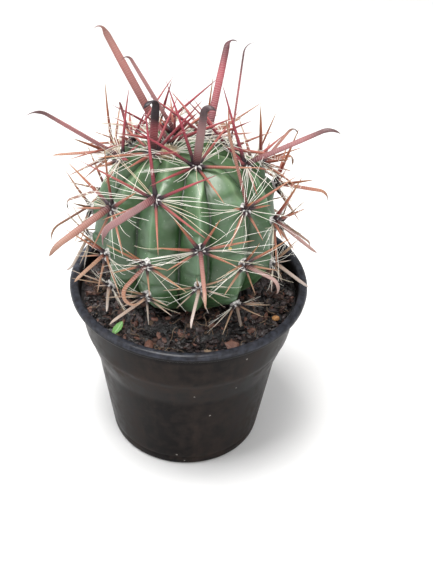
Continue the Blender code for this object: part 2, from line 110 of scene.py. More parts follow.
stem = {
    "ribs": 11,
    "directions": (8.0, 36.0, 65.0, 95.0, 130.0, 168.0, 205.0, 242.0, 274.0, 307.5, 338.0),
    "shoulderTurns": (4.0, 10.0, 14.0, 10.0, 6.0, 0.0, 0.0, 0.0, 0.0, 0.0, 0.0),
    "valleyPlaces": (0.30, 0.5, 0.5, 0.5, 0.5, 0.5, 0.5, 0.5, 0.5, 0.5, 0.60),
    "crownTurns": (45.0, 22.0, 22.0, 10.0, 4.0, 20.0, 0.0, 6.0, 2.0, 8.0, 18.0),
    "axis": (-2.5, 0.5),
    "crownShift": (-3.0, 3.0),
    "crownFocus": (-7.3, -5.7),
    "focusFrom": 190.0,
    "foot": 100.0,
    "waist": 141.0,
    "top": 198.0,
    "crest": 52.0,
    "rise": 57.0,
    "power": 2.9,
    "drop": 38.0,
    "lowPower": 1.9,
    "footRadius": 31.0,
    "valley": 0.19,
    "columnsPerRib": 28,
    "lowRows": 70,
    "topRows": 130,
}

# Areole heights on each rib, from the crown down, starting with the rib nearest the front
areoleHeights = (
    (197.1, 169.5, 147.5),
    (182.5, 156.0, 125.0),
    (191.5, 167.5, 142.0),
    (194.3, 184.5, 172.5, 149.0),
    (195.6, 170.0, 143.0),
    (197.8, 196.5, 176.0, 148.0),
    (190.0, 167.0, 141.0),
    (194.0, 181.0, 155.0, 128.0),
    (197.9, 192.5, 162.0, 141.0),
    (179.0, 152.0, 129.5),
    (189.0, 158.5, 138.0),
)

# Hooked central spines: lean from the surface normal, clock direction of the lean, straight length,
# clock direction of the hook, how far it turns, radius of the turn.
# Clock directions run clockwise from the crown, seen from outside.
hookShapes = {
    (0, 0): (9, 226, 36, 140, 150, 3.2),
    (0, 1): (23, 192, 28, 180, 50, 12.0),
    (0, 2): (21, 224, 19, 170, 40, 8.0),
    (1, 0): (52, 355, 56, 170, 20, 10.0),
    (1, 1): (18, 108, 18, 190, 120, 5.0),
    (1, 2): (39, 178, 12, 320, 30, 8.0),
    (2, 0): (33, 181, 44, 170, 80, 8.0),
    (2, 1): (40, 195, 22, 130, 40, 8.0),
    (2, 2): (30, 170, 16, 130, 40, 10.0),
    (3, 0): (16, 80, 50, 190, 80, 6.0),
    (3, 1): (47, 119, 26, 160, 90, 8.0),
    (3, 2): (26, 200, 25, 190, 90, 6.0),
    (3, 3): (36, 170, 20, 180, 60, 6.0),
    (4, 0): (31, 149, 50, 214, 110, 4.0),
    (4, 1): (34, 170, 34, 180, 100, 6.0),
    (4, 2): (42, 190, 24, 180, 60, 6.0),
    (5, 0): (24, 90, 14, 270, 80, 4.0),
    (5, 1): (36, 115, 44, 80, 140, 3.0),
    (5, 2): (34, 190, 36, 180, 100, 5.5),
    (5, 3): (36, 200, 30, 180, 90, 6.0),
    (6, 0): (18, 85, 61, 110, 120, 3.2),
    (6, 1): (30, 160, 36, 180, 100, 6.0),
    (6, 2): (40, 200, 26, 180, 60, 6.0),
    (7, 0): (24, 30, 22, 60, 60, 5.0),
    (7, 1): (44, 130, 29, 180, 20, 10.0),
    (7, 2): (36, 180, 28, 180, 90, 6.0),
    (7, 3): (44, 190, 20, 0, 60, 6.0),
    (8, 0): (17, 62, 32, 140, 140, 5.0),
    (8, 1): (25, 206, 43, 150, 70, 10.0),
    (8, 2): (36, 150, 18, 140, 70, 9.0),
    (8, 3): (58, 140, 16, 300, 50, 8.0),
    (9, 0): (38, 164, 33, 190, 60, 10.0),
    (9, 1): (32, 185, 16, 50, 40, 7.0),
    (9, 2): (46, 150, 10, 30, 40, 5.0),
    (10, 0): (56, 211, 33, 170, 70, 10.0),
    (10, 1): (38, 216, 14, 150, 200, 6.0),
    (10, 2): (38, 235, 20, 55, 30, 8.0),
}

# The six straight spines of an areole: clock direction, lean, share of the length
straightFan = (
    (352, 56, 1.00),
    (58, 68, 0.92),
    (108, 77, 0.84),
    (168, 80, 0.74),
    (236, 76, 0.72),
    (292, 64, 1.00),
)

# Areoles whose straight spines stand their own way: clock direction, lean, length
ownFans = {
    (0, 0): ((303, 56, 46), (2, 40, 45), (95, 48, 36), (150, 80, 34), (199, 92, 33), (271, 86, 34)),
    (0, 1): ((21, 61, 26), (80, 78, 29), (110, 68, 21), (245, 78, 21), (282, 75, 26), (326, 69, 28)),
    (1, 0): ((350, 50, 36), (80, 56, 31), (110, 72, 14), (180, 86, 18), (240, 83, 27), (291, 77, 10)),
    (2, 0): ((10, 46, 46), (120, 60, 30), (180, 75, 14), (250, 88, 26), (309, 63, 20), (350, 70, 16)),
    (8, 1): ((340, 50, 38), (17, 81, 18), (60, 80, 26), (120, 88, 20), (160, 70, 14), (250, 80, 22)),
    (10, 0): ((343, 56, 49), (65, 66, 37), (116, 74, 42), (157, 78, 36), (225, 82, 28), (275, 60, 43)),
    (10, 1): ((331, 58, 20), (74, 76, 16), (95, 73, 30), (160, 72, 16), (250, 70, 18), (298, 76, 23)),
}

# Hooks seen from the front: half width, grey-mauve bloom, dark end, worn paleness,
# and how far the broad side turns to the front
hookLooks = {
    (0, 0): (2.25, 0.85, 0.85, 0.1, 1.0),
    (0, 1): (1.15, 0.45, 0.1, 0.1, 0.3),
    (0, 2): (0.90, 0.35, 0.0, 1.0, 0.3),
    (1, 0): (0.95, 0.25, 0.3, 0.2, 0.2),
    (1, 1): (1.15, 0.75, 0.3, 0.2, 0.6),
    (1, 2): (0.95, 0.10, 0.0, 0.7, 0.3),
    (2, 0): (1.55, 0.55, 0.7, 0.2, 0.6),
    (2, 1): (1.05, 0.70, 0.0, 0.4, 0.4),
    (2, 2): (1.00, 0.20, 0.0, 0.9, 0.3),
    (3, 0): (0.85, 0.20, 0.8, 0.1, 0.3),
    (3, 1): (1.00, 0.30, 0.7, 0.3, 0.4),
    (3, 2): (1.25, 0.10, 0.3, 0.3, 0.5),
    (4, 0): (2.10, 0.15, 0.7, 0.0, 1.0),
    (5, 1): (1.25, 0.60, 0.4, 0.3, 0.7),
    (6, 0): (2.35, 0.35, 0.45, 0.5, 1.0),
    (7, 0): (0.80, 0.20, 0.3, 0.0, 0.2),
    (7, 1): (0.95, 0.00, 0.2, 0.3, 0.2),
    (8, 0): (2.25, 0.05, 1.3, 0.0, 1.0),
    (8, 1): (1.45, 0.40, 0.7, 0.2, 0.5),
    (8, 2): (1.00, 0.20, 0.1, 0.6, 0.3),
    (8, 3): (0.90, 0.10, 0.0, 1.0, 0.3),
    (9, 0): (1.90, 0.35, 0.3, 0.4, 0.9),
    (9, 1): (1.05, 0.00, 0.0, 1.0, 0.3),
    (9, 2): (0.85, 0.10, 0.0, 1.0, 0.3),
    (10, 0): (2.00, 0.80, 0.4, 0.2, 0.8),
    (10, 1): (1.40, 0.15, 0.2, 0.1, 0.5),
    (10, 2): (0.90, 0.10, 0.0, 0.5, 0.3),
}

spines = {
    "ageHeights": (186.0, 163.0, 150.0),
    "straightLengths": (42.0, 36.0, 28.0, 23.0),
    "straightWidth": 0.85,
    "hookWidth": 1.7,
    "padRadius": 2.8,
    "padLift": 0.35,
    "padHeight": 2.3,
    "clearance": 0.6,
    "stubLength": 5.5,
    "hookHalf": (1.5, 1.35, 1.1, 0.95),
    "straightHalf": (1.12, 1.05, 0.86, 0.70),
    "broadSide": (0.0, -0.77, 0.64),
    "bristles": (17, 15, 11, 8),
    "bristleLengths": (40.0, 38.0, 30.0, 20.0),
    "feltRings": ((3.0, -0.9), (2.9, 0.0), (2.3, 0.6), (1.4, 1.0), (0.6, 1.1)),
    "feltSides": 16,
    "feltFibres": 70,
    "tuft": ((1.4, 1.5), (2.3, 1.6), (3.1, 1.25), (3.7, 0.5)),
}


def smooth(value):
    value = np.clip(value, 0.0, 1.0)
    return value * value * (3.0 - 2.0 * value)


def boxMiddle(node):
    low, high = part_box(node)
    return (np.array(low) + np.array(high)) / 2 / mm


def takePlace(obj, node):
    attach(obj, "root")
    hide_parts(node)


# Layout: the same rules as the solids


# Radius of the rib crests at a height
def crestAt(height):
    above = 1.0 - np.clip((height - stem["waist"]) / stem["rise"], 0.0, 1.0) ** stem["power"]
    below = 1.0 - np.clip((stem["waist"] - height) / stem["drop"], 0.0, 1.0) ** stem["lowPower"]
    top = stem["crest"] * above ** (1 / stem["power"])
    low = np.maximum(stem["crest"] * below ** (1 / stem["lowPower"]), stem["footRadius"])
    return np.where(height > stem["waist"], top, low)


# The stem's centre at a height: the crown leans off the foot
def axisAt(height):
    share = np.clip((height - 150.0) / 48.0, 0.0, 1.0) ** 2
    near = np.clip((height - stem["focusFrom"]) / (stem["top"] - stem["focusFrom"]), 0.0, 1.0) ** 2
    return (
        stem["axis"][0] + stem["crownShift"][0] * share + stem["crownFocus"][0] * near,
        stem["axis"][1] + stem["crownShift"][1] * share + stem["crownFocus"][1] * near,
    )


# Directions of the ribs at a height, from the first round to it again
def ribDirections(height):
    height = np.asarray(height, float)[..., None]
    shoulder = smooth((height - 160.0) / 28.0)
    crown = np.clip((height - 175.0) / 23.0, 0.0, 1.0) ** 6
    turned = np.array(stem["directions"]) + np.array(stem["shoulderTurns"]) * shoulder
    turned = turned + np.array(stem["crownTurns"]) * crown
    return np.concatenate([turned, turned[..., :1] + 360.0], axis=-1)


# The nearest rib to a direction, and how far towards the valley: 0 on the crest, 1 in the valley
def ribPlace(height, angle):
    directions = ribDirections(height)
    first = directions[..., 0]
    angle = first + np.mod(angle - first, 360.0)
    before = np.clip((angle[..., None] >= directions).sum(axis=-1) - 1, 0, stem["ribs"] - 1)
    start = np.take_along_axis(directions, before[..., None], -1)[..., 0]
    end = np.take_along_axis(directions, before[..., None] + 1, -1)[..., 0]
    share = (angle - start) / (end - start)
    return np.mod(before + (share > 0.5), stem["ribs"]), 2.0 * np.minimum(share, 1.0 - share)


# How far a rib swells under its areoles
def ribBump(rib, height):
    total = 0.0
    for areoleHeight in areoleHeights[rib]:
        total = total + 1.5 * np.exp(-(((height - areoleHeight) / 5.5) ** 2))
    return total * smooth((height - 108.0) / 12.0) * smooth((193.0 - height) / 8.0)


def ribbedRadius(height, index, side):
    share = stem["valley"] * (0.45 + 0.55 * smooth((height - 104.0) / 22.0))
    share = share + 0.10 * smooth((height - 180.0) / 14.0)
    radius = crestAt(height) * (1.0 - share * side**1.4)
    for rib in range(stem["ribs"]):
        lift = ribBump(rib, height) * (1.0 - side) ** 2
        radius = np.where(index == rib, radius + lift, radius)
    return radius


# An areole's centre, and its directions outward, towards the crown and to the side
def areoleFrame(rib, level):
    height = areoleHeights[rib][level]

    def crestPoint(z):
        angle = math.radians(float(ribDirections(z)[rib]))
        radius = float(crestAt(z) + ribBump(rib, z))
        axis = axisAt(z)
        return np.array([axis[0] + radius * math.sin(angle), axis[1] - radius * math.cos(angle), z])

    angle = math.radians(float(ribDirections(height)[rib]))
    sideways = np.array([math.cos(angle), math.sin(angle), 0.0])
    upward = crestPoint(min(height + 2.0, stem["top"])) - crestPoint(height - 2.0)
    upward = upward - sideways * np.dot(upward, sideways)
    upward = upward / np.linalg.norm(upward)
    normal = np.cross(sideways, upward)
    normal = normal / np.linalg.norm(normal)
    return crestPoint(height), normal, upward, sideways


# 0 for the youngest spines at the crown, up to 3 for the oldest
def spineAge(rib, level):
    return sum(areoleHeights[rib][level] < limit for limit in spines["ageHeights"])


# A direction that leans from the outward one towards a clock direction
def leaning(place, lean, clock):
    _, normal, upward, sideways = place
    a = math.radians(lean)
    c = math.radians(clock)
    flat = math.cos(c) * upward + math.sin(c) * sideways
    return math.cos(a) * normal + math.sin(a) * flat


def straightLine(place, lean, clock, length):
    start = place[0] + place[1] * (spines["padLift"] + spines["padHeight"] * 0.5)
    return start + np.outer([0.0, 0.22, 1.0], leaning(place, lean, clock) * length)


def hookLine(place, shape, spacing=0.0):
    lean, clock, length, hookClock, turn, radius = shape
    start = place[0] + place[1] * (spines["padLift"] + spines["padHeight"])
    heading = leaning(place, lean, clock)
    aside = leaning(place, 90.0, hookClock)
    inward = aside - heading * np.dot(aside, heading)
    inward = inward / np.linalg.norm(inward)
    if spacing:
        count = int(length / spacing)
        points = [start + heading * length * k / count for k in range(count + 1)]
        steps = int(math.radians(turn) * radius / spacing)
    else:
        points = [start, start + heading * length * 0.2, start + heading * length]
        steps = max(3, int(round(turn / 32.0)))
    centre = points[-1] + inward * radius
    for step in range(1, steps + 1):
        a = math.radians(turn) * step / steps
        points.append(centre - inward * radius * math.cos(a) + heading * radius * math.sin(a))
    return np.array(points), inward


def sampled(points, spacing=1.0):
    found = [points[0]]
    for a, b in zip(points[:-1], points[1:]):
        count = max(1, int(np.linalg.norm(b - a) / spacing))
        found.extend(a + (b - a) * step / count for step in range(1, count + 1))
    return np.array(found)


def insideStem(points, margin):
    found = np.zeros(len(points), bool)
    for drop, inward in ((0.0, margin), (margin, 0.0), (-margin, 0.0)):
        height = points[:, 2] - drop
        axisX, axisY = axisAt(height)
        x = points[:, 0] - axisX
        y = points[:, 1] - axisY
        angle = np.degrees(np.arctan2(x, -y))
        reach = ribbedRadius(height, *ribPlace(height, angle)) + inward
        found |= (np.hypot(x, y) < reach) & (height < stem["top"]) & (height > stem["foot"])
    return found


def soilAt(radius):
    return soil["height"] + (soil["mound"] - soil["height"]) * smooth(
        (soil["moundOuter"] - radius) / (soil["moundOuter"] - soil["moundInner"])
    )


# Whether a spine would touch the stem, the mix, the pot or another spine
def blocked(points, halfWidths, fixed, fixedWidths, own):
    away = np.linalg.norm(points - own, axis=1)
    free = away > 6.0
    if free.any() and insideStem(points[free], 1.3).any():
        return True
    radius = np.hypot(points[:, 0], points[:, 1])
    lowest = np.where(radius > soil["moundOuter"], potHeight + 1.0, soilAt(radius) + 2.0)
    if (points[:, 2] < lowest).any():
        return True
    if not len(fixed):
        return False
    gap = np.linalg.norm(points[:, None] - fixed[None], axis=2)
    need = halfWidths[:, None] + fixedWidths[None] + spines["clearance"]
    return bool(((gap < need) & free[:, None]).any())


# Every areole with its hook and straight spines, each one turned or shortened until it is clear
def layOut():
    dice = random.Random(29)
    clusters = []
    fixed = np.zeros((0, 3))
    fixedWidths = np.zeros(0)
    order = []
    for rib, heights in enumerate(areoleHeights):
        for level in range(len(heights)):
            place = areoleFrame(rib, level)
            order.append((rib, level, place))
            fixed = np.vstack([fixed, place[0] + place[1] * (spines["padLift"] + 1.0)])
            fixedWidths = np.append(fixedWidths, spines["padRadius"] + 0.4)

    def straightPoints(trial):
        points = sampled(straightLine(place, *trial))
        return points, np.linspace(spines["straightWidth"] * 1.2, 0.3, len(points))

    hooks = {}
    for rib, level, place in order:
        shape = hookShapes[(rib, level)]
        for attempt in range(60):
            swing = dice.uniform(-1, 1) * attempt * 1.2
            tilt = dice.uniform(-1, 1) * attempt * 0.8
            shorter = 1.0 - 0.006 * attempt
            trial = (shape[0] + tilt, shape[1] + swing, shape[2] * shorter, *shape[3:])
            points = sampled(hookLine(place, trial)[0])
            widths = np.linspace(spines["hookWidth"], 0.3, len(points))
            if not blocked(points, widths, fixed, fixedWidths, place[0]):
                break
        hooks[(rib, level)] = trial
        fixed = np.vstack([fixed, points])
        fixedWidths = np.append(fixedWidths, widths)
    for rib, level, place in order:
        straights = []
        longest = spines["straightLengths"][spineAge(rib, level)]
        general = [(clock, lean, longest * share) for clock, lean, share in straightFan]
        fan = ownFans.get((rib, level), general)
        loose = 0.3 if (rib, level) in ownFans else 1.0
        for clock, lean, length in fan:
            full = length * (1.0 + loose * dice.uniform(-0.12, 0.12))
            baseClock = clock + loose * dice.uniform(-9, 9)
            baseLean = lean + loose * dice.uniform(-5, 3)
            for attempt in range(80):
                swing = dice.uniform(-1, 1) * attempt * 0.5
                tilt = -abs(dice.uniform(-1, 1)) * attempt * 0.5
                length = full * (1.0 - 0.009 * attempt)
                trial = (baseLean + tilt, baseClock + swing, length)
                points, widths = straightPoints(trial)
                if not blocked(points, widths, fixed, fixedWidths, place[0]):
                    break
            else:
                trial = (baseLean * 0.5, baseClock, spines["stubLength"])
                points, widths = straightPoints(trial)
            straights.append(trial)
            fixed = np.vstack([fixed, points])
            fixedWidths = np.append(fixedWidths, widths)
        clusters.append((rib, level, place, hooks[(rib, level)], straights))
    return clusters


# Mesh helpers


class Shape:
    def __init__(self):
        self.points = []
        self.faces = []
        self.kinds = []
        self.values = {}
        self.count = 0

    def add(self, points, faces, kind=0, **values):
        points = np.asarray(points, float)
        self.points.append(points)
        for face in faces:
            self.faces.append([int(i) + self.count for i in face])
        self.kinds.extend([kind] * len(faces))
        for name in set(self.values) | set(values):
            row = np.broadcast_to(np.asarray(values.get(name, 0.0), float), (len(points),))
            if name not in self.values:
                self.values[name] = [np.zeros(self.count)] if self.count else []
            self.values[name].append(row)
        self.count += len(points)

    def object(self, name, materials, smoothFaces=True):
        mesh = bpy.data.meshes.new(name)
        points = np.concatenate(self.points) * mm
        mesh.from_pydata(points.tolist(), [], self.faces)
        for material in materials:
            mesh.materials.append(material)
        mesh.polygons.foreach_set("material_index", np.array(self.kinds, np.int32))
        mesh.polygons.foreach_set("use_smooth", [smoothFaces] * len(mesh.polygons))
        for label, rows in self.values.items():
            layer = mesh.attributes.new(label, "FLOAT", "POINT")
            layer.data.foreach_set("value", np.concatenate(rows).astype(np.float32))
        mesh.update()
        obj = bpy.data.objects.new(name, mesh)
        bpy.context.scene.collection.objects.link(obj)
        return obj


# Faces of a stack of rings that is closed at both ends
def ringFaces(rings, sides):
    low = np.arange(rings - 1)[:, None] * sides
    k = np.arange(sides)[None]
    after = (k + 1) % sides
    quads = np.stack([low + k, low + after, low + sides + after, low + sides + k], -1)
    last = (rings - 1) * sides
    ends = [list(range(sides))[::-1], list(range(last, last + sides))]
    return quads.reshape(-1, 4).tolist() + ends


def tubeFrames(line, firstSide):
    tangents = np.gradient(line, axis=0)
    tangents /= np.linalg.norm(tangents, axis=1)[:, None]
    side = firstSide - tangents[0] * np.dot(firstSide, tangents[0])
    side /= np.linalg.norm(side)
    sides = np.empty_like(line)
    for k, tangent in enumerate(tangents):
        side = side - tangent * np.dot(side, tangent)
        side = side / np.linalg.norm(side)
        sides[k] = side
    return tangents, sides, np.cross(tangents, sides)


anySide = np.array([0.31, 0.52, 0.79])


# A closed tube down a line; flat under 1 makes a ribbon whose broad side faces firstSide
def addTube(
    shape, line, half, sides=8, firstSide=anySide, flat=1.0, hollow=0.0, twist=0.0, kind=0, **values
):
    line = np.asarray(line, float)
    _, thin, wide = tubeFrames(line, firstSide)
    turn = np.broadcast_to(twist, (len(line),))[:, None]
    turnedThin = thin * np.cos(turn) + wide * np.sin(turn)
    turnedWide = wide * np.cos(turn) - thin * np.sin(turn)
    half = np.asarray(half, float)
    angles = np.arange(sides) * 2 * math.pi / sides
    reach = half[:, None]
    across = np.cos(angles)[None] * reach
    rise = np.sin(angles)[None] * reach * flat
    if hollow:
        rise = np.where(rise > 0, rise * (1 - hollow * np.sin(angles)[None] ** 2), rise)
    ring = line[:, None] + turnedWide[:, None] * across[..., None] + turnedThin[:, None] * rise[..., None]
    arc = np.concatenate([[0], np.cumsum(np.linalg.norm(np.diff(line, axis=0), axis=1))])
    rows = {"arc": np.repeat(arc, sides), "along": np.repeat(arc / arc[-1], sides)}
    for name, value in values.items():
        value = np.asarray(value, float)
        rows[name] = np.repeat(value, sides) if value.shape == (len(line),) else value
    shape.add(ring.reshape(-1, 3), ringFaces(len(line), sides), kind, **rows)


# Turns a profile that starts and ends on the axis
def lathe(shape, profile, segments, wobble=None):
    points = [(0.0, 0.0, profile[0][1])]
    angles = np.arange(segments) * 2 * math.pi / segments
    inner = profile[1:-1]
    for radius, height in inner:
        for a in angles:
            extra = wobble(radius, height, a) if wobble else 0.0
            points.append(((radius + extra) * math.cos(a), (radius + extra) * math.sin(a), height))
    points.append((0.0, 0.0, profile[-1][1]))
    last = len(points) - 1
    faces = []
    for step in range(segments):
        after = (step + 1) % segments
        faces.append((0, 1 + after, 1 + step))
        for row in range(len(inner) - 1):
            a = 1 + row * segments
            b = a + segments
            faces.append((a + step, a + after, b + after, b + step))
        top = 1 + (len(inner) - 1) * segments
        faces.append((last, top + step, top + after))
    shape.add(points, faces)


# Material helpers


def opaque(colour):
    return (*colour, 1.0) if isinstance(colour, tuple) else colour


# Short ways to add nodes to a material's tree or to a node group
class Nodes:
    def __init__(self, tree):
        self.tree = tree

    def fill(self, node, inputs):
        for key, value in inputs.items():
            if isinstance(value, bpy.types.NodeSocket):
                self.tree.links.new(value, node.inputs[key])
            else:
                node.inputs[key].default_value = value

    def add(self, kind, inputs, **settings):
        node = self.tree.nodes.new(kind)
        for key, value in settings.items():
            setattr(node, key, value)
        self.fill(node, inputs)
        return node

    def attribute(self, name):
        return self.add("ShaderNodeAttribute", {}, attribute_name=name).outputs["Fac"]

    def coordinates(self):
        return self.add("ShaderNodeTexCoord", {}).outputs["Object"]

    def maths(self, operation, a, b=0.0, clamp=False):
        return self.add("ShaderNodeMath", {0: a, 1: b}, operation=operation, use_clamp=clamp).outputs[0]

    def plus(self, a, b, clamp=False):
        return self.maths("ADD", a, b, clamp)

    def times(self, a, b, clamp=False):
        return self.maths("MULTIPLY", a, b, clamp)

    def remap(self, value, fromLow, fromHigh, toLow=0.0, toHigh=1.0):
        inputs = {"Value": value, 1: fromLow, 2: fromHigh, 3: toLow, 4: toHigh}
        return self.add("ShaderNodeMapRange", inputs).outputs["Result"]

    def noise(self, place, scale, detail=2.0, roughness=0.5):
        inputs = {"Vector": place, "Scale": scale, "Detail": detail, "Roughness": roughness}
        return self.add("ShaderNodeTexNoise", inputs).outputs["Fac"]

    def blend(self, share, a, b):
        inputs = {0: share, 6: opaque(a), 7: opaque(b)}
        return self.add("ShaderNodeMix", inputs, data_type="RGBA").outputs[2]

    def ramp(self, value, *stops):
        node = self.add("ShaderNodeValToRGB", {"Fac": value})
        elements = node.color_ramp.elements
        while len(elements) < len(stops):
            elements.new(0.5)
        for element, (position, colour) in zip(elements, stops):
            element.position = position
            element.color = opaque(colour)
        return node.outputs["Color"]

    def bump(self, height, strength, distance):
        inputs = {"Strength": strength, "Distance": distance, "Height": height}
        return self.add("ShaderNodeBump", inputs).outputs["Normal"]

    def spots(self, place, scale, size, share):
        inputs = {"Place": place, "Scale": scale, "Size": size, "Share": share}
        return self.add("ShaderNodeGroup", inputs, node_tree=spotsGroup).outputs["Mask"]

    def mottle(self, place, coarse, fine):
        inputs = {"Place": place, "Coarse": coarse, "Fine": fine}
        return self.add("ShaderNodeGroup", inputs, node_tree=mottledGroup).outputs["Value"]


# A material with its shader
class Look(Nodes):
    def __init__(self, name):
        self.material = bpy.data.materials.new(name)
        self.material.use_nodes = True
        super().__init__(self.material.node_tree)

    def surface(self, inputs):
        self.fill(self.tree.nodes["Principled BSDF"], inputs)
        return self.material


# An empty node group with its named sockets, and its two ends
def newGroup(name, values, output):
    tree = bpy.data.node_groups.new(name, "ShaderNodeTree")
    tree.interface.new_socket("Place", in_out="INPUT", socket_type="NodeSocketVector")
    for value in values:
        tree.interface.new_socket(value, in_out="INPUT", socket_type="NodeSocketFloat")
    tree.interface.new_socket(output, in_out="OUTPUT", socket_type="NodeSocketFloat")
    return Nodes(tree), tree.nodes.new("NodeGroupInput").outputs, tree.nodes.new("NodeGroupOutput")


# Small scattered spots: a mask that is 1 in a spot
def speckleGroup():
    group, enter, leave = newGroup("scatteredSpots", ("Scale", "Size", "Share"), "Mask")
    cells = group.add("ShaderNodeTexVoronoi", {"Vector": enter["Place"], "Scale": enter["Scale"]})
    inSpot = group.maths("LESS_THAN", cells.outputs["Distance"], enter["Size"])
    split = group.add("ShaderNodeSeparateColor", {0: cells.outputs["Color"]})
    chosen = group.maths("LESS_THAN", split.outputs[0], enter["Share"])
    group.fill(leave, {"Mask": group.times(inSpot, chosen)})
    return group.tree


# Uneven colour at two scales, from 0 to 1 round 0.5
def mottleGroup():
    group, enter, leave = newGroup("mottle", ("Coarse", "Fine"), "Value")
    coarse = group.noise(enter["Place"], enter["Coarse"], 3.0, 0.6)
    fine = group.noise(enter["Place"], enter["Fine"], 5.0, 0.6)
    group.fill(leave, {"Value": group.times(group.plus(coarse, fine), 0.5)})
    return group.tree


spotsGroup = speckleGroup()
mottledGroup = mottleGroup()


# Materials


def plantSkin():
    look = Look("plantSkin")
    place = look.coordinates()
    uneven = look.mottle(place, 28.0, 130.0)
    side = look.attribute("side")
    # Across each rib both ramps fall from a lighter crest to near black in the valleys: the lighter crest
    # is a painted highlight and the dark valleys are painted shade
    body = look.ramp(
        side,
        (0.0, (0.130, 0.215, 0.125)),
        (0.06, (0.066, 0.142, 0.060)),
        (0.30, (0.030, 0.082, 0.024)),
        (0.90, (0.019, 0.058, 0.014)),
        (1.0, (0.004, 0.012, 0.004)),
    )
    bright = look.ramp(
        side,
        (0.0, (0.175, 0.260, 0.125)),
        (0.18, (0.070, 0.142, 0.048)),
        (0.85, (0.036, 0.090, 0.024)),
        (1.0, (0.012, 0.030, 0.008)),
    )
    colour = look.blend(look.attribute("young"), body, bright)
    bloom = look.remap(uneven, 0.42, 0.62, 0.05, 0.34)
    bloom = look.times(bloom, look.maths("SUBTRACT", 1.0, side))
    colour = look.blend(bloom, colour, (0.15, 0.235, 0.18))
    shade = look.remap(uneven, 0.3, 0.7, 0.82, 1.16)
    shaded = look.add("ShaderNodeHueSaturation", {"Value": shade, "Color": colour}).outputs[0]
    # Painted shade: the notches above the areoles and the low fold are darkened towards near black green
    crease = look.times(look.attribute("crease"), 0.75)
    colour = look.blend(crease, shaded, (0.012, 0.03, 0.01))
    corkNoise = look.noise(place, 240.0, 4.0)
    corkEdge = look.remap(corkNoise, 0.3, 0.62, 0.3, 1.4)
    cork = look.times(look.attribute("cork"), corkEdge, True)
    corkColour = look.ramp(corkNoise, (0.3, (0.16, 0.10, 0.05)), (0.7, (0.42, 0.30, 0.16)))
    colour = look.blend(cork, colour, corkColour)
    colour = look.blend(look.spots(place, 95.0, 0.10, 0.035), colour, (0.48, 0.36, 0.10))
    paleSpots = look.times(look.spots(place, 420.0, 0.16, 0.25), 0.22)
    colour = look.blend(paleSpots, colour, (0.42, 0.52, 0.36))
    relief = look.plus(look.noise(place, 700.0, 3.0), look.times(uneven, 1.5))
    sockets = {
        "Base Color": colour,
        "Roughness": look.remap(uneven, 0.35, 0.65, 0.34, 0.52),
        "Coat Weight": 0.30,
        "Coat Roughness": 0.22,
        "Subsurface Weight": 0.12,
        "Subsurface Radius": (0.0025, 0.004, 0.0012),
        "Subsurface Scale": 0.6,
        "Normal": look.bump(relief, 0.22, 0.0005),
    }
    return look.surface(sockets)


# Dark swollen base, coloured shaft with fine cross rings, paler worn tip
def spineMaterial(name, base, shaft, wornShaft):
    look = Look(name)
    uneven = look.mottle(look.coordinates(), 60.0, 400.0)
    drift = look.plus(look.attribute("along"), look.remap(uneven, 0.3, 0.7, -0.07, 0.07))
    lower, middle, tip = shaft
    rich = look.ramp(drift, (0.0, base), (0.09, base), (0.24, lower), (0.62, middle), (1.0, tip))
    worn = look.ramp(drift, (0.0, base), (0.08, lower), (0.24, wornShaft[0]), (0.9, wornShaft[1]))
    colour = look.blend(look.attribute("tint"), rich, worn)
    ringNoise = look.noise(look.coordinates(), 190.0)
    phase = look.plus(look.attribute("arc"), look.times(ringNoise, 2.2))
    wave = look.maths("SINE", look.times(phase, 5.2))
    ring = look.times(look.attribute("ringed"), look.remap(wave, 0.25, 1.0))
    colour = look.blend(look.times(ring, 0.30), colour, (0.56, 0.38, 0.33))
    bloom = look.times(look.attribute("bloom"), look.remap(uneven, 0.35, 0.6, 0.75, 1.0))
    colour = look.blend(bloom, colour, (0.255, 0.175, 0.175))
    dusk = look.times(look.attribute("dusk"), look.remap(uneven, 0.3, 0.6, 0.8, 1.0), True)
    colour = look.blend(dusk, colour, (0.014, 0.007, 0.012))
    relief = look.plus(look.times(ring, 0.5), uneven)
    sockets = {
        "Base Color": colour,
        "Roughness": look.remap(uneven, 0.3, 0.7, 0.38, 0.58),
        "Subsurface Weight": 0.08,
        "Subsurface Radius": (0.002, 0.001, 0.0007),
        "Subsurface Scale": 0.4,
        "Normal": look.bump(relief, 0.35, 0.00018),
    }
    return look.surface(sockets)


def bristleMaterial():
    look = Look("creamBristle")
    along = look.attribute("along")
    cream = look.ramp(
        along, (0.0, (0.42, 0.37, 0.28)), (0.12, (0.76, 0.74, 0.66)), (1.0, (0.88, 0.87, 0.82))
    )
    straw = look.ramp(
        along, (0.0, (0.30, 0.20, 0.10)), (0.3, (0.50, 0.40, 0.24)), (1.0, (0.62, 0.53, 0.38))
    )
    colour = look.blend(look.attribute("tint"), cream, straw)
    return look.surface({"Base Color": colour, "Roughness": 0.45})


def feltMaterial(name, dark, light):
    look = Look(name)
    fine = look.noise(look.coordinates(), 900.0, 4.0)
    sockets = {
        "Base Color": look.ramp(fine, (0.32, dark), (0.62, light)),
        "Roughness": 0.95,
        "Sheen Weight": 0.4,
        "Normal": look.bump(fine, 0.8, 0.0005),
    }
    return look.surface(sockets)
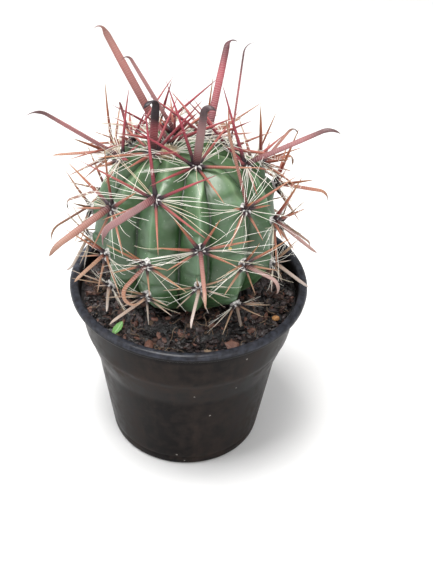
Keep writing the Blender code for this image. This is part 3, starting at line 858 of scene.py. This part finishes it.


# Thin black plastic: satin, with drag lines from the mould, a painted bluish sheen along the lip and dried
# dust
def potPlastic():
    look = Look("blackPotPlastic")
    place = look.coordinates()
    stretched = look.add("ShaderNodeMapping", {"Vector": place, "Scale": (1.0, 1.0, 0.035)})
    drag = look.noise(stretched.outputs["Vector"], 150.0, 6.0, 0.65)
    uneven = look.mottle(place, 22.0, 160.0)
    streak = look.remap(drag, 0.52, 0.74)
    patch = look.remap(uneven, 0.44, 0.64)
    dust = look.times(look.plus(streak, look.times(patch, 0.05)), 0.22)
    dust = look.plus(dust, look.times(look.attribute("dust"), patch), True)
    colour = look.blend(dust, (0.0052, 0.0042, 0.0042), (0.050, 0.036, 0.030))
    chalk = look.times(look.spots(place, 210.0, 0.12, 0.05), 0.5)
    colour = look.blend(chalk, colour, (0.42, 0.40, 0.37))
    # Painted highlight: a bluish grey sheen is painted along the lip, broken up by noise
    onLip = look.attribute("scuff")
    sheenBreakup = look.remap(look.noise(place, 320.0, 5.0), 0.35, 0.7, 0.25, 1.0)
    scuff = look.times(onLip, sheenBreakup, True)
    rough = look.plus(look.remap(uneven, 0.3, 0.7, 0.28, 0.34), look.times(dust, 0.5))
    sockets = {
        "Base Color": look.blend(scuff, colour, (0.10, 0.112, 0.150)),
        "Roughness": look.plus(rough, look.times(scuff, 0.25)),
        "Specular IOR Level": 0.045,
        "Coat Weight": look.times(onLip, 0.9, True),
        "Coat Roughness": 0.25,
        "Normal": look.bump(look.plus(drag, look.times(uneven, 0.4)), 0.10, 0.0005),
    }
    return look.surface(sockets)


# Damp bark: each chip has its own tone
def barkMaterial(name, dark, light, gloss):
    look = Look(name)
    uneven = look.mottle(look.coordinates(), 180.0, 900.0)
    share = look.plus(look.attribute("tone"), look.remap(uneven, 0.3, 0.7, -0.35, 0.35), True)
    sockets = {
        "Base Color": look.blend(share, dark, light),
        "Roughness": look.remap(uneven, 0.35, 0.65, gloss, gloss + 0.25),
        "Normal": look.bump(uneven, 0.8, 0.0008),
    }
    return look.surface(sockets)


def plainLeaf():
    look = Look("freshLeaf")
    uneven = look.mottle(look.coordinates(), 160.0, 900.0)
    colour = look.ramp(uneven, (0.3, (0.10, 0.30, 0.07)), (0.7, (0.30, 0.55, 0.20)))
    sockets = {
        "Base Color": look.blend(look.attribute("vein"), colour, (0.42, 0.62, 0.33)),
        "Roughness": 0.5,
        "Subsurface Weight": 0.2,
        "Subsurface Radius": (0.001, 0.002, 0.0006),
        "Normal": look.bump(uneven, 0.4, 0.0004),
    }
    return look.surface(sockets)


def pebbleMaterial():
    look = Look("orangePebble")
    uneven = look.mottle(look.coordinates(), 350.0, 1500.0)
    colour = look.ramp(uneven, (0.3, (0.36, 0.14, 0.045)), (0.7, (0.72, 0.38, 0.15)))
    return look.surface({"Base Color": colour, "Roughness": 0.6, "Normal": look.bump(uneven, 0.6, 0.0004)})


skin = plantSkin()
bristleCream = bristleMaterial()
areoleFelt = feltMaterial("areoleFelt", (0.16, 0.14, 0.14), (0.78, 0.76, 0.74))
crownFelt = feltMaterial("crownFelt", (0.34, 0.22, 0.11), (0.80, 0.68, 0.48))
blackPlastic = potPlastic()
darkBark = barkMaterial("dampDarkBark", (0.0030, 0.0022, 0.0023), (0.080, 0.058, 0.058), 0.22)
redBark = barkMaterial("redBark", (0.026, 0.011, 0.009), (0.230, 0.110, 0.080), 0.34)
paleFibre = barkMaterial("paleFibre", (0.08, 0.050, 0.032), (0.26, 0.180, 0.120), 0.55)
leafGreen = plainLeaf()
pebbleOrange = pebbleMaterial()
purpleBase = (0.035, 0.012, 0.020)
spineMaterials = (
    spineMaterial(
        "crimsonSpine",
        purpleBase,
        ((0.17, 0.018, 0.032), (0.32, 0.040, 0.062), (0.19, 0.026, 0.040)),
        ((0.25, 0.075, 0.050), (0.40, 0.200, 0.110)),
    ),
    spineMaterial(
        "salmonSpine",
        purpleBase,
        ((0.17, 0.026, 0.022), (0.29, 0.090, 0.040), (0.33, 0.180, 0.080)),
        ((0.29, 0.120, 0.070), (0.38, 0.190, 0.130)),
    ),
    spineMaterial(
        "tanSpine",
        (0.040, 0.013, 0.012),
        ((0.17, 0.040, 0.022), (0.28, 0.115, 0.045), (0.34, 0.210, 0.110)),
        ((0.32, 0.160, 0.090), (0.38, 0.240, 0.160)),
    ),
    spineMaterial(
        "greySpine",
        (0.060, 0.032, 0.025),
        ((0.19, 0.100, 0.060), (0.28, 0.180, 0.110), (0.36, 0.280, 0.200)),
        ((0.34, 0.270, 0.210), (0.44, 0.390, 0.350)),
    ),
)
print("materials ready")


# The stem


def stemSurface():
    shape = Shape()
    columns = stem["ribs"] * stem["columnsPerRib"]
    low = np.linspace(stem["foot"], stem["waist"], stem["lowRows"], endpoint=False)
    rise = stem["top"] - 0.05 - stem["waist"]
    top = stem["waist"] + rise * np.sin(np.radians(np.linspace(0, 88.5, stem["topRows"])))
    rows = np.concatenate([low, top])
    slots = np.arange(columns) / stem["columnsPerRib"]
    nearest = np.round(slots)
    points = []
    values = {"side": [], "young": [], "cork": [], "crease": []}
    index = np.mod(nearest, stem["ribs"]).astype(int)
    side = np.abs(slots - nearest) * 2.0
    for height in rows:
        crests = ribDirections(height)
        valleys = crests[:-1] + (crests[1:] - crests[:-1]) * np.array(stem["valleyPlaces"])
        knots = np.append(np.stack([crests[:-1], valleys], -1).ravel(), crests[-1])
        angles = np.interp(slots, np.arange(len(knots)) / 2, knots)
        radii = ribbedRadius(np.full(columns, height), index, side)
        steady = smooth((height - 104.0) / 10.0) * smooth((197.0 - height) / 10.0)
        flank = (np.sqrt(side**2 + 0.0064) - 0.08) / 0.923 - side**1.4
        crest = crestAt(height)
        radii = radii - crest * (0.17 * flank - 0.035 * side + 0.034 * side**18) * steady
        # crease marks the painted shade in the notches above the areoles and in the low fold
        crease = np.zeros(columns)
        for rib in range(stem["ribs"]):
            here = index == rib
            between = 1.0 - min(1.0, float(ribBump(rib, height)) / 1.5)
            radii[here] -= 1.3 * between * (1 - side[here]) ** 1.3 * float(steady)
            for areoleHeight in areoleHeights[rib]:
                if areoleHeight > 190:
                    continue
                away = height - areoleHeight
                droop = 2.2 * side[here]  # the notch sweeps down the flanks in a shallow V
                notch = np.exp(-(((away - 5.2 + droop) / 1.3) ** 2)) * (1 - side[here]) ** 1.2
                chin = np.exp(-(((away + 6.0 - droop) / 3.0) ** 2)) * (1 - side[here]) ** 1.5
                radii[here] -= 1.3 * notch + 0.45 * chin
                crease[here] += 0.55 * notch
        for column in range(columns):
            a = math.radians(angles[column])
            spot = Vector((math.sin(a) * 2.2, -math.cos(a) * 2.2, height * 0.045))
            lump = noise.fractal(spot, 0.9, 2.1, 2) * 0.9
            folds = noise.noise(Vector((spot.x * 3.0, spot.y * 3.0, height * 0.30 + 7.0)))
            radii[column] += (lump + folds * 0.35 * side[column]) * min(1.0, crest / 30.0)
        lowFold = np.exp(-(((height - 117.0 - 3.0 * np.sin(np.radians(angles * 3))) / 0.8) ** 2))
        radii = radii - 0.7 * lowFold * (1 - 0.5 * side)
        crease = crease + 0.6 * lowFold
        axis = axisAt(height)
        turned = np.radians(angles)
        x = axis[0] + radii * np.sin(turned)
        y = axis[1] - radii * np.cos(turned)
        points.append(np.stack([x, y, np.full(columns, height)], -1))
        values["side"].append(side)
        youngHere = smooth((height - 176.0) / 20.0)
        values["young"].append(np.full(columns, 0.75 * youngHere) + 0.15 * (1 - side))
        values["cork"].append(np.full(columns, smooth((116.0 - height) / 9.0)))
        values["crease"].append(crease)
    merged = {key: np.concatenate(parts) for key, parts in values.items()}
    shape.add(np.concatenate(points), ringFaces(len(rows), columns), 0, **merged)
    takePlace(shape.object("ribbedStem", [skin]), "cactus_stem")


stemSurface()
print("stem ready")


# Areoles and spines


# The line with its middle pushed aside.
def bowed(line, bend, direction):
    u = np.linspace(0, 1, len(line))
    return line + np.outer(np.sin(math.pi * u) * bend, direction)


# Half width down a straight spine: narrow at the root, a swollen bulb, then an even taper.
def spineHalf(along, length, half):
    bulb = np.interp(along * length, (0.0, 1.0, 2.2, 3.4, 4.8), (0.55, 0.95, 1.32, 1.22, 1.0))
    return np.maximum(half * (1.0 - along) ** 0.62 * bulb, 0.07)


# Turn about the shaft that brings the broad side to the front, let go before the hook.
def frontTwist(line, inward, along):
    tangents, thin, wide = tubeFrames(line, inward)
    front = np.array(spines["broadSide"])
    turn = np.arctan2(wide @ front, thin @ front)
    turn = (turn + math.pi / 2) % math.pi - math.pi / 2
    return np.median(turn) * (1.0 - smooth((along - 0.84) / 0.12))


def addHook(shape, place, hook, key, age, dice):
    usual = (spines["hookHalf"][age], dice.uniform(0.1, 0.6), dice.uniform(0.0, 0.5), 0.0, 0.5)
    half, bloom, dusk, tint, facing = hookLooks.get(key, usual)
    line, inward = hookLine(place, hook, 0.42)
    start = place[0] + place[1] * 0.4
    run = np.linspace(0, 1, 6, endpoint=False)[:, None]
    line = np.vstack([start + (line[0] - start) * run, line])
    steps = np.concatenate([[0], np.cumsum(np.linalg.norm(np.diff(line, axis=0), axis=1))])
    along = steps / steps[-1]
    body = np.interp(
        along, (0, 0.03, 0.10, 0.6, 0.86, 0.95, 1.0), (0.85, 0.92, 0.98, 0.96, 0.80, 0.5, 0.05)
    )
    rings = 1.0 + 0.02 * np.sin(steps * 4.6 + dice.uniform(0, 6))
    darkTip = dusk * smooth((along - 0.85 + 0.4 * dusk) / 0.3)
    darkBase = 0.95 * (1.0 - smooth(along / 0.11))
    addTube(
        shape,
        line,
        np.maximum(half * body * rings, 0.09),
        sides=14,
        firstSide=inward,
        flat=0.40,
        hollow=0.35,
        twist=frontTwist(line, inward, along) * facing,
        tint=tint,
        ringed=1.0,
        bloom=bloom * smooth((along - 0.08) / 0.25),
        dusk=np.maximum(darkTip, darkBase),
    )


def addStraight(shape, place, straight, age, dice):
    lean, clock, length = straight
    heading = leaning(place, lean, clock)
    start = place[0] + place[1] * 0.5 + leaning(place, 90.0, clock) * 1.0
    tip = straightLine(place, lean, clock, length)[-1]
    u = np.linspace(0, 1, 40)[:, None]
    line = start + (tip - start) * u
    bend = dice.uniform(-0.2, 0.9) * length / 40.0
    line = bowed(line, bend, np.cross(np.cross(heading, place[1]), heading))
    half = spines["straightHalf"][age] * dice.uniform(0.8, 1.12)
    along = u[:, 0]
    addTube(
        shape,
        line,
        spineHalf(along, length, half),
        sides=9,
        tint=min(1.0, max(0.0, 0.38 - 0.5 * math.cos(math.radians(clock)) + dice.gauss(0, 0.15))),
        ringed=0.25,
        dusk=1.0 - smooth((along * length - 3.4) / 3.4),
    )


# Thin wavy cream bristles, mostly out to the sides.
def addBristles(shape, place, age, dice):
    for number in range(spines["bristles"][age]):
        leftRight = 90 if number % 2 else 270
        clock = leftRight + dice.gauss(0, 24)
        lean = dice.uniform(68, 83)
        length = spines["bristleLengths"][age] * dice.uniform(0.55, 1.1)
        start = place[0] + place[1] * 0.9 + leaning(place, 90, clock) * 1.6
        heading = leaning(place, lean, clock)
        u = np.linspace(0, 1, 15)
        line = start + np.outer(u * length, heading)
        waveSide = np.cross(heading, place[1])
        waves = dice.uniform(0.25, 1.0)
        shift = dice.uniform(0, 6)
        line = line + np.outer(np.sin(u * waves * 6.3 + shift) * u * dice.uniform(0.4, 2.0), waveSide)
        line = line - np.outer(u**2 * dice.uniform(0.0, 3.5), place[1])
        keep = ~insideStem(line, 0.4)
        keep[:3] = True
        radius = np.hypot(line[:, 0], line[:, 1])
        keep &= line[:, 2] > soilAt(radius) + 1.0
        keep &= (radius < lipRadius - 7) | (line[:, 2] > potHeight + 1)
        stop = len(u) if keep.all() else int(np.argmin(keep))
        if stop < 5:
            continue
        along = np.linspace(0, 1, stop)
        thick = dice.uniform(0.19, 0.27) * (1 - 0.12 * age) * (1 - 0.7 * along)
        addTube(
            shape,
            line[:stop],
            thick,
            sides=5,
            kind=2,
            tint=dice.uniform(0.0, 0.25) if dice.random() < 0.85 else 0.8,
        )


# A low felted cushion with short fibres between the spine bases.
def addFelt(shape, place, straights, dice):
    centre, normal, upward, sideways = place
    points = []
    sides = spines["feltSides"]
    for radius, rise in spines["feltRings"]:
        for k in range(sides):
            a = 2 * math.pi * k / sides
            reach = radius * (1 + 0.12 * math.sin(3 * a + centre[2])) * dice.uniform(0.94, 1.06)
            flat = upward * math.cos(a) * reach * 1.18 + sideways * math.sin(a) * reach * 0.86
            points.append(centre + normal * (rise + dice.uniform(-0.1, 0.1)) + flat)
    faces = [face[::-1] for face in ringFaces(len(spines["feltRings"]), sides)]
    shape.add(points, faces, 1)
    clocks = sorted(clock % 360.0 for _, clock, _ in straights)
    for clock, after in zip(clocks, clocks[1:] + [clocks[0] + 360.0]):
        if after - clock < 16.0:
            continue
        middle = leaning(place, 90.0, (clock + after) / 2 + dice.uniform(-4, 4))
        line = [centre + middle * reach + normal * rise for reach, rise in spines["tuft"]]
        thick = np.array([0.35, 0.62, 0.58, 0.2]) * dice.uniform(0.85, 1.2)
        addTube(shape, line, thick, kind=1)
    for _ in range(spines["feltFibres"]):
        a = dice.uniform(0, 2 * math.pi)
        reach = 2.9 * math.sqrt(dice.random())
        root = centre + normal * (1.3 - 0.16 * reach * reach)
        root = root + upward * math.cos(a) * reach * 1.1 + sideways * math.sin(a) * reach * 0.85
        heading = normal * dice.uniform(0.5, 1.2) + np.array([dice.uniform(-1, 1) for _ in range(3)])
        heading = heading / np.linalg.norm(heading) * dice.uniform(0.7, 1.6)
        line = [root, root + heading * 0.5, root + heading + normal * dice.uniform(-0.3, 0.2)]
        addTube(shape, line, [0.09, 0.07, 0.03], sides=3, kind=1)


def addAreole(rib, level, place, hook, straights, dice):
    age = spineAge(rib, level)
    shape = Shape()
    addFelt(shape, place, straights, dice)
    for straight in straights:
        addStraight(shape, place, straight, age, dice)
    addHook(shape, place, hook, (rib, level), age, dice)
    addBristles(shape, place, age, dice)
    label = f"r{rib + 1:02d}_{level + 1}"
    obj = shape.object(f"spines_{label}", [spineMaterials[age], areoleFelt, bristleCream])
    takePlace(obj, f"spine_cluster_{label}")


def growSpines():
    dice = random.Random(83)
    for rib, level, place, hook, straights in layOut():
        addAreole(rib, level, place, hook, straights, dice)


growSpines()
print("spines ready")


# Wool over the growing point, with the youngest bristles through it.
def crownWool():
    low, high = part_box("crown_wool")
    centre = np.array([(low.x + high.x) / 2, (low.y + high.y) / 2, low.z]) / mm
    dice = random.Random(12)
    shape = Shape()
    sides = crown["sides"]
    points = []
    for radius, rise in crown["rings"]:
        for k in range(sides):
            a = 2 * math.pi * k / sides
            reach = radius * dice.uniform(0.88, 1.1)
            offset = (reach * math.cos(a), reach * math.sin(a), rise + dice.uniform(-0.25, 0.25))
            points.append(centre + np.array(offset))
    shape.add(points, ringFaces(len(crown["rings"]), sides))
    for _ in range(crown["fibres"]):
        a = dice.uniform(0, 2 * math.pi)
        reach = 5.8 * math.sqrt(dice.random())
        root = centre + np.array([reach * math.cos(a), reach * math.sin(a), 2.3 - 0.05 * reach**2])
        heading = np.array([dice.uniform(-1, 1), dice.uniform(-1, 1), dice.uniform(0.1, 1.0)])
        heading = heading / np.linalg.norm(heading) * dice.uniform(1.0, 2.6)
        curl = np.array([dice.uniform(-0.5, 0.5), dice.uniform(-0.5, 0.5), -0.3])
        addTube(shape, [root, root + heading * 0.5, root + heading + curl], [0.10, 0.08, 0.03], sides=3)
    for _ in range(crown["bristles"]):
        a = dice.uniform(0, 2 * math.pi)
        root = centre + np.array([3.2 * math.cos(a), 3.2 * math.sin(a), 1.6])
        reach = dice.uniform(*crown["bristleReach"])
        out = np.array([math.cos(a), math.sin(a), dice.uniform(0.15, 0.75)])
        bend = np.array([-math.sin(a), math.cos(a), 0.0]) * dice.uniform(-5, 5)
        line = [root + out * reach * u + bend * u * u for u in np.linspace(0, 1, 9)]
        addTube(shape, line, 0.22 * (1.0 - 0.7 * np.linspace(0, 1, 9)), sides=5, kind=1)
    takePlace(shape.object("crownWool", [crownFelt, bristleCream]), "crown_wool")


crownWool()
print("crown ready")


# The pot


def wallRadius(height):
    heights = (0.0, 3.0, 62.0, 81.5, 84.0, 108.0)
    lowBand = pot["bandLow"]
    radii = (pot["foot"], pot["foot"] + 0.7, pot["taperTop"], lowBand - 1.0, lowBand, pot["bandTop"])
    return float(np.interp(height, heights, radii))


# The wall with its bends rounded and a fine step where the band ends.
def softWall(height):
    near = [wallRadius(height + k) for k in (-1.6, -0.8, 0.0, 0.8, 1.6)]
    step = 0.28 * math.exp(-(((height - 83.0) / 0.9) ** 2))
    low = 0.16 * math.exp(-(((height - 7.5) / 0.7) ** 2))
    return sum(near) / 5 + step - low


def potShell():
    lip = lipRadius
    shape = Shape()
    profile = [(0.0, 0.25), (10.0, 0.25), (24.0, 0.15), (39.5, 0.1), (41.0, 0.0), (44.6, 0.0)]
    profile += [(45.6, 0.25), (46.1, 0.8)]
    heights = [1.6, 2.6, 4.0, 6.0, 7.0, 7.5, 8.0, 9.0] + list(np.arange(12.0, 108.0, 1.6))
    profile += [(softWall(z), z) for z in heights]
    profile += [(pot["bandTop"] + 0.1, 109.4), (pot["bandTop"] + 0.7, 110.7), (lip - 2.4, 110.9)]
    profile += [(lip - 1.6, 110.4), (lip - 1.45, 109.2), (lip - 1.2, 108.7), (lip - 0.6, 108.55)]
    profile += [(lip - 0.15, 109.0), (lip, 109.9), (lip - 0.05, 110.8), (lip - 0.35, 111.6)]
    profile += [(lip - 0.9, 112.3), (lip - 1.7, 112.75), (lip - 2.6, 112.98), (lip - 3.4, potHeight)]
    profile += [(lip - 4.1, 112.8), (lip - 4.7, 112.3), (lip - 5.1, 111.5), (lip - 5.3, 110.4)]
    inside = list(np.arange(108.0, 4.0, -1.6))
    profile += [(softWall(z) - pot["wall"], z) for z in inside]
    profile += [(wallRadius(2.0) - pot["wall"] - 1.5, pot["floor"] + 0.1), (0.0, pot["floor"])]

    def wobble(radius, height, angle):
        if radius < 42:
            return 0.0
        spot = Vector((math.cos(angle) * 1.6, math.sin(angle) * 1.6, height * 0.012))
        fine = Vector((math.cos(angle) * 30.0, math.sin(angle) * 30.0, height * 0.05))
        return noise.noise(spot) * 0.10 + noise.noise(fine) * 0.03

    segments = pot["segments"]
    lathe(shape, profile, segments, wobble)
    inner = profile[1:-1]
    dust = [0.25]
    # scuff holds a painted highlight along the top of the lip, strongest towards the back left
    scuff = [0.0]
    for radius, height in inner:
        for step in range(segments):
            angle = 2 * math.pi * step / segments
            onLip = smooth((height - 109.5) / 1.5)
            spot = Vector((math.cos(angle) * 2, math.sin(angle) * 2, 4.0))
            sheenBreakup = 0.35 + 0.65 * max(0.0, noise.noise(spot))
            backLeft = math.exp(-(((math.degrees(angle) - 152) / 22) ** 2))
            scuff.append(float(onLip) * (0.22 + 0.25 * sheenBreakup + 0.6 * backLeft))
            ledge = math.exp(-(((height - 79.0) / 5.0) ** 2)) + math.exp(-(((height - 6.0) / 5.0) ** 2))
            dust.append(0.28 * ledge + (0.35 if height < 111 and radius < lip - 5 else 0.0))
    dust.append(0.3)
    scuff.append(0.0)
    shape.values["dust"] = [np.array(dust)]
    shape.values["scuff"] = [np.array(scuff)]
    obj = shape.object("nurseryPot", [blackPlastic])
    cutter = Shape()
    sides = 32
    for hole in range(pot["drainCount"]):
        angle = 2 * math.pi * (hole + 0.5) / pot["drainCount"]
        centre = (pot["drainCircle"] * math.cos(angle), pot["drainCircle"] * math.sin(angle))
        points = []
        for z in (-3.0, 6.0):
            for k in range(sides):
                a = 2 * math.pi * k / sides
                x = centre[0] + pot["drainRadius"] * math.cos(a)
                y = centre[1] + pot["drainRadius"] * math.sin(a)
                points.append((x, y, z))
        cutter.add(points, ringFaces(2, sides))
    holes = cutter.object("drainHoles", [blackPlastic])
    cut = obj.modifiers.new("drainHoles", "BOOLEAN")
    cut.operation = "DIFFERENCE"
    cut.solver = "EXACT"
    cut.object = holes
    graph = bpy.context.evaluated_depsgraph_get()
    pierced = bpy.data.meshes.new_from_object(obj.evaluated_get(graph))
    obj.modifiers.clear()
    obj.data = pierced
    bpy.data.objects.remove(holes)
    takePlace(obj, "nursery_pot")


potShell()
print("pot ready")


# The potting mix


# Uneven surface of the mix.
def soilLift(x, y):
    coarse = noise.fractal(Vector((x * 0.05, y * 0.05, 2.0)), 0.8, 2.0, 3) * 1.2
    fine = noise.fractal(Vector((x * 0.28, y * 0.28, 9.0)), 0.8, 2.0, 3) * 0.7
    return coarse + fine


def soilTop(x, y):
    radius = math.hypot(x, y)
    edge = float(smooth((soil["reach"] - radius) / 3.0))
    return float(soilAt(radius)) + soilLift(x, y) * edge


# The body of the mix: a filled pot shape with an uneven top.
def bulkSoil(shape):
    segments = 180
    side = [(wallRadius(z) - pot["wall"] - 0.35, z) for z in (6.0, 30.0, 62.0, 81.5, 84.0, 100.0)]
    profile = [(0.0, 1.9), (wallRadius(4.0) - pot["wall"] - 2.5, 1.9)] + side
    start = 1 + (len(profile) - 1) * segments
    radii = [soil["reach"]] + list(np.arange(62.5, 26.0, -0.9))
    profile += [(r, 0.0) for r in radii] + [(0.0, soil["mound"])]
    lathe(shape, profile, segments)
    points = shape.points[-1]
    for index in range(start, len(points) - 1):
        x, y, _ = points[index]
        points[index][2] = soilTop(x, y)


def spin(axis, angle):
    return Matrix.Rotation(angle, 3, axis)


# An irregular splintered chip round the origin.
def chipPoints(dice, length, width, thick, turn):
    sides = dice.choice((5, 6, 7))
    slant = dice.uniform(-0.35, 0.35)
    rows = []
    for level, shrink in ((-0.5, 0.72), (-0.15, 1.0), (0.22, 0.97), (0.5, 0.66)):
        for k in range(sides):
            a = 2 * math.pi * k / sides + level * 0.4
            reach = shrink * dice.uniform(0.72, 1.12)
            x = math.cos(a) * length * 0.5 * reach
            y = math.sin(a) * width * 0.5 * reach
            rows.append((x, y, level * thick + x * slant * 0.3 + dice.uniform(-0.08, 0.08) * thick))
    return np.array(rows) @ np.array(turn).T, ringFaces(4, sides)


# Chips of bark lying every way on the mix.
def scatterChips(shape, count, sizes, dice, sink):
    made = 0
    while made < count:
        radius = math.sqrt(dice.uniform(28.0**2, 62.2**2))
        a = dice.uniform(0, 2 * math.pi)
        x = radius * math.sin(a)
        y = -radius * math.cos(a)
        length = dice.triangular(*sizes)
        width = length * dice.uniform(0.3, 0.75)
        thick = length * dice.uniform(0.15, 0.34)
        if radius + length * 0.5 > soil["reach"] - 0.2:
            continue
        tilt = spin("X", dice.gauss(0, 0.38)) @ spin("Y", dice.gauss(0, 0.38))
        turn = spin("Z", dice.uniform(0, 6.28)) @ tilt
        points, faces = chipPoints(dice, length, width, thick, turn)
        points = points + np.array([x, y, soilTop(x, y) + thick * sink])
        roll = dice.random()
        kind = 0
        if roll < soil["paleBelow"]:
            kind = 1 if roll < soil["redBelow"] else 2
        shape.add(points, faces, kind, tone=dice.random() ** 1.9)
        made += 1


# Thin roots and shreds of bark on the surface.
def scatterFibres(shape, dice):
    for _ in range(soil["fibres"]):
        radius = math.sqrt(dice.uniform(36.0**2, 60.0**2))
        a = dice.uniform(0, 2 * math.pi)
        x = radius * math.sin(a)
        y = -radius * math.cos(a)
        heading = dice.uniform(0, 6.28)
        length = dice.uniform(3.0, 11.0)
        line = []
        for u in np.linspace(0, 1, 9):
            swing = heading + math.sin(u * 3 + a) * 0.5
            px = x + math.cos(swing) * length * (u - 0.5)
            py = y + math.sin(swing) * length * (u - 0.5)
            lift = 1.1 + 0.8 * math.sin(u * 3.1)
            line.append((px, py, soilTop(px, py) + lift))
        if max(math.hypot(p[0], p[1]) for p in line) > soil["reach"] - 0.8:
            continue
        addTube(shape, line, np.full(9, dice.uniform(0.1, 0.28)), sides=5, kind=2, tone=dice.random())


def pottingMix():
    dice = random.Random(41)
    shape = Shape()
    bulkSoil(shape)
    scatterChips(shape, soil["crumbs"], soil["crumbLength"], dice, 0.25)
    scatterChips(shape, soil["chips"], soil["chipLength"], dice, 0.30)
    scatterFibres(shape, dice)
    obj = shape.object("pottingMix", [darkBark, redBark, paleFibre], False)
    takePlace(obj, "potting_soil")


pottingMix()
print("potting mix ready")


# A larger loose piece of bark in place of its solid.
def looseChip(node, seed):
    low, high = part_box(node)
    centre = boxMiddle(node)
    size = (np.array(high) - np.array(low)) / mm
    dice = random.Random(seed)
    shape = Shape()
    turn = spin("Z", dice.uniform(0, 3.14)) @ spin("X", dice.uniform(-0.2, 0.2))
    points, faces = chipPoints(dice, max(size[:2]) * 0.95, min(size[:2]) * 0.9, size[2] * 1.1, turn)
    centre[2] = soilTop(centre[0], centre[1]) + 1.0 + size[2] * 0.45
    shape.add(points + centre, faces, 0, tone=0.75)
    obj = shape.object(node + "_detailed", [redBark], False)
    bevel = obj.modifiers.new("wornEdges", "BEVEL")
    bevel.width = 0.0003
    bevel.segments = 2
    takePlace(obj, node)


for number in range(1, 5):
    looseChip(f"bark_chip_{number}", 60 + number)


def pebble():
    centre = boxMiddle("pebble")
    radii = np.array(stone["radii"])
    shape = Shape()
    points = []
    rows = stone["rows"]
    columns = stone["columns"]
    for row in range(1, rows):
        polar = math.pi * row / rows
        for column in range(columns):
            a = 2 * math.pi * column / columns
            flat = math.sin(polar)
            direction = Vector((flat * math.cos(a), flat * math.sin(a), math.cos(polar)))
            reach = 1.0 + 0.16 * noise.noise(direction * 1.7)
            points.append(np.array(direction) * radii * reach)
    faces = []
    for row in range(rows - 2):
        for column in range(columns):
            after = (column + 1) % columns
            a = row * columns
            b = a + columns
            faces.append((a + column, b + column, b + after, a + after))
    faces.append(tuple(range(columns)))
    faces.append(tuple((rows - 2) * columns + k for k in range(columns))[::-1])
    centre[2] = soilTop(centre[0], centre[1]) + 2.0
    shape.add(np.array(points) + centre, faces)
    takePlace(shape.object("orangePebble", [pebbleOrange]), "pebble")


pebble()


# A small fresh leaf, folded along its vein, leaning on the mix.
def leafFragment():
    centre = boxMiddle("leaf_fragment")
    shape = Shape()
    rows = leaf["rows"]
    columns = leaf["columns"]
    points = []
    vein = []
    for face in (0.0, leaf["thick"]):
        for row in range(rows):
            u = row / (rows - 1)
            half = leaf["half"] * math.sin(math.pi * min(1.0, 0.06 + u * 0.93)) ** 0.75
            for column in range(columns):
                v = column / (columns - 1) * 2 - 1
                x = (u - 0.5) * leaf["length"]
                y = v * half * (1 + 0.06 * math.sin(u * 30))
                z = 0.9 * abs(v) * half * 0.5 + 1.6 * (u - 0.5) ** 2 * 2 + face
                points.append((x, y, z))
                vein.append(max(0.0, 1 - abs(v) * 7))
    faces = []
    layer = rows * columns
    for row in range(rows - 1):
        for column in range(columns - 1):
            a = row * columns + column
            faces.append((a, a + columns, a + columns + 1, a + 1))
            faces.append((layer + a, layer + a + 1, layer + a + columns + 1, layer + a + columns))
    border = list(range(columns))
    border += [row * columns + columns - 1 for row in range(1, rows)]
    border += [(rows - 1) * columns + column for column in range(columns - 2, -1, -1)]
    border += [row * columns for row in range(rows - 2, 0, -1)]
    for a, b in zip(border, border[1:] + border[:1]):
        faces.append((a, b, layer + b, layer + a))
    turn = spin("Z", math.radians(leaf["heading"])) @ spin("Y", math.radians(leaf["slope"]))
    centre[2] = soilTop(centre[0], centre[1]) + 1.9
    shape.add(np.array(points) @ np.array(turn).T + centre, faces, 0, vein=np.array(vein))
    takePlace(shape.object("freshLeaf", [leafGreen]), "leaf_fragment")


leafFragment()
print("litter ready")


# Floor, light and camera


def floorAndLight():
    shape = Shape()
    curve = [(1500 + 600 * math.sin(a), 599.8 - 600 * math.cos(a)) for a in np.linspace(0.0, 1.57, 16)]
    outside = [(2100.0, 1900.0), (2120.0, 1900.0), (2120.0, -20.0), (0.0, -20.0)]
    lathe(shape, [(0.0, -0.2)] + curve + outside, 96)
    sockets = {"Base Color": (0.90, 0.90, 0.90, 1.0), "Roughness": 0.9, "Specular IOR Level": 0.1}
    shape.object("paleFloor", [Look("paleFloor").surface(sockets)])
    bpy.context.scene.view_settings.view_transform = "Standard"
    world = bpy.data.worlds.new("studio")
    world.use_nodes = True
    background = world.node_tree.nodes["Background"]
    background.inputs["Color"].default_value = (1.0, 1.0, 1.0, 1.0)
    background.inputs["Strength"].default_value = studio["sky"]
    bpy.context.scene.world = world

    def softLight(name, place, target, size, power, colour):
        light = bpy.data.lights.new(name, "AREA")
        light.shape = "RECTANGLE"
        light.size = size[0]
        light.size_y = size[1]
        light.energy = power
        light.color = colour
        obj = bpy.data.objects.new(name, light)
        obj.location = place
        obj.rotation_mode = "QUATERNION"
        obj.rotation_quaternion = (Vector(target) - Vector(place)).to_track_quat("-Z", "Y")
        bpy.context.scene.collection.objects.link(obj)

    for name in ("topSoftbox", "frontFill", "leftFill"):
        softLight(name, *studio[name])


def camera():
    data = bpy.data.cameras.new("camera")
    obj = bpy.data.objects.new("camera", data)
    bpy.context.scene.collection.objects.link(obj)
    bpy.context.scene.camera = obj
    data.sensor_width = 36.0
    data.lens = view["lens"]
    data.clip_start = 0.01
    data.clip_end = 20.0
    distance = view["distance"]
    elevation = math.radians(view["elevation"])
    pan = math.radians(view["pan"])
    down = math.radians(view["down"])
    roll = math.radians(view["roll"])
    ahead = Vector((math.sin(pan) * math.cos(down), math.cos(pan) * math.cos(down), -math.sin(down)))
    level = ahead.cross(Vector((0, 0, 1))).normalized()
    upright = level.cross(ahead)
    right = level * math.cos(roll) + upright * math.sin(roll)
    up = upright * math.cos(roll) - level * math.sin(roll)
    pose = Matrix((right, up, -ahead)).transposed().to_4x4()
    height = potHeight * mm + distance * math.sin(elevation)
    pose.translation = Vector((0, -distance * math.cos(elevation), height))
    obj.matrix_world = pose


floorAndLight()
camera()
print("stage ready")

bpy.context.view_layer.update()
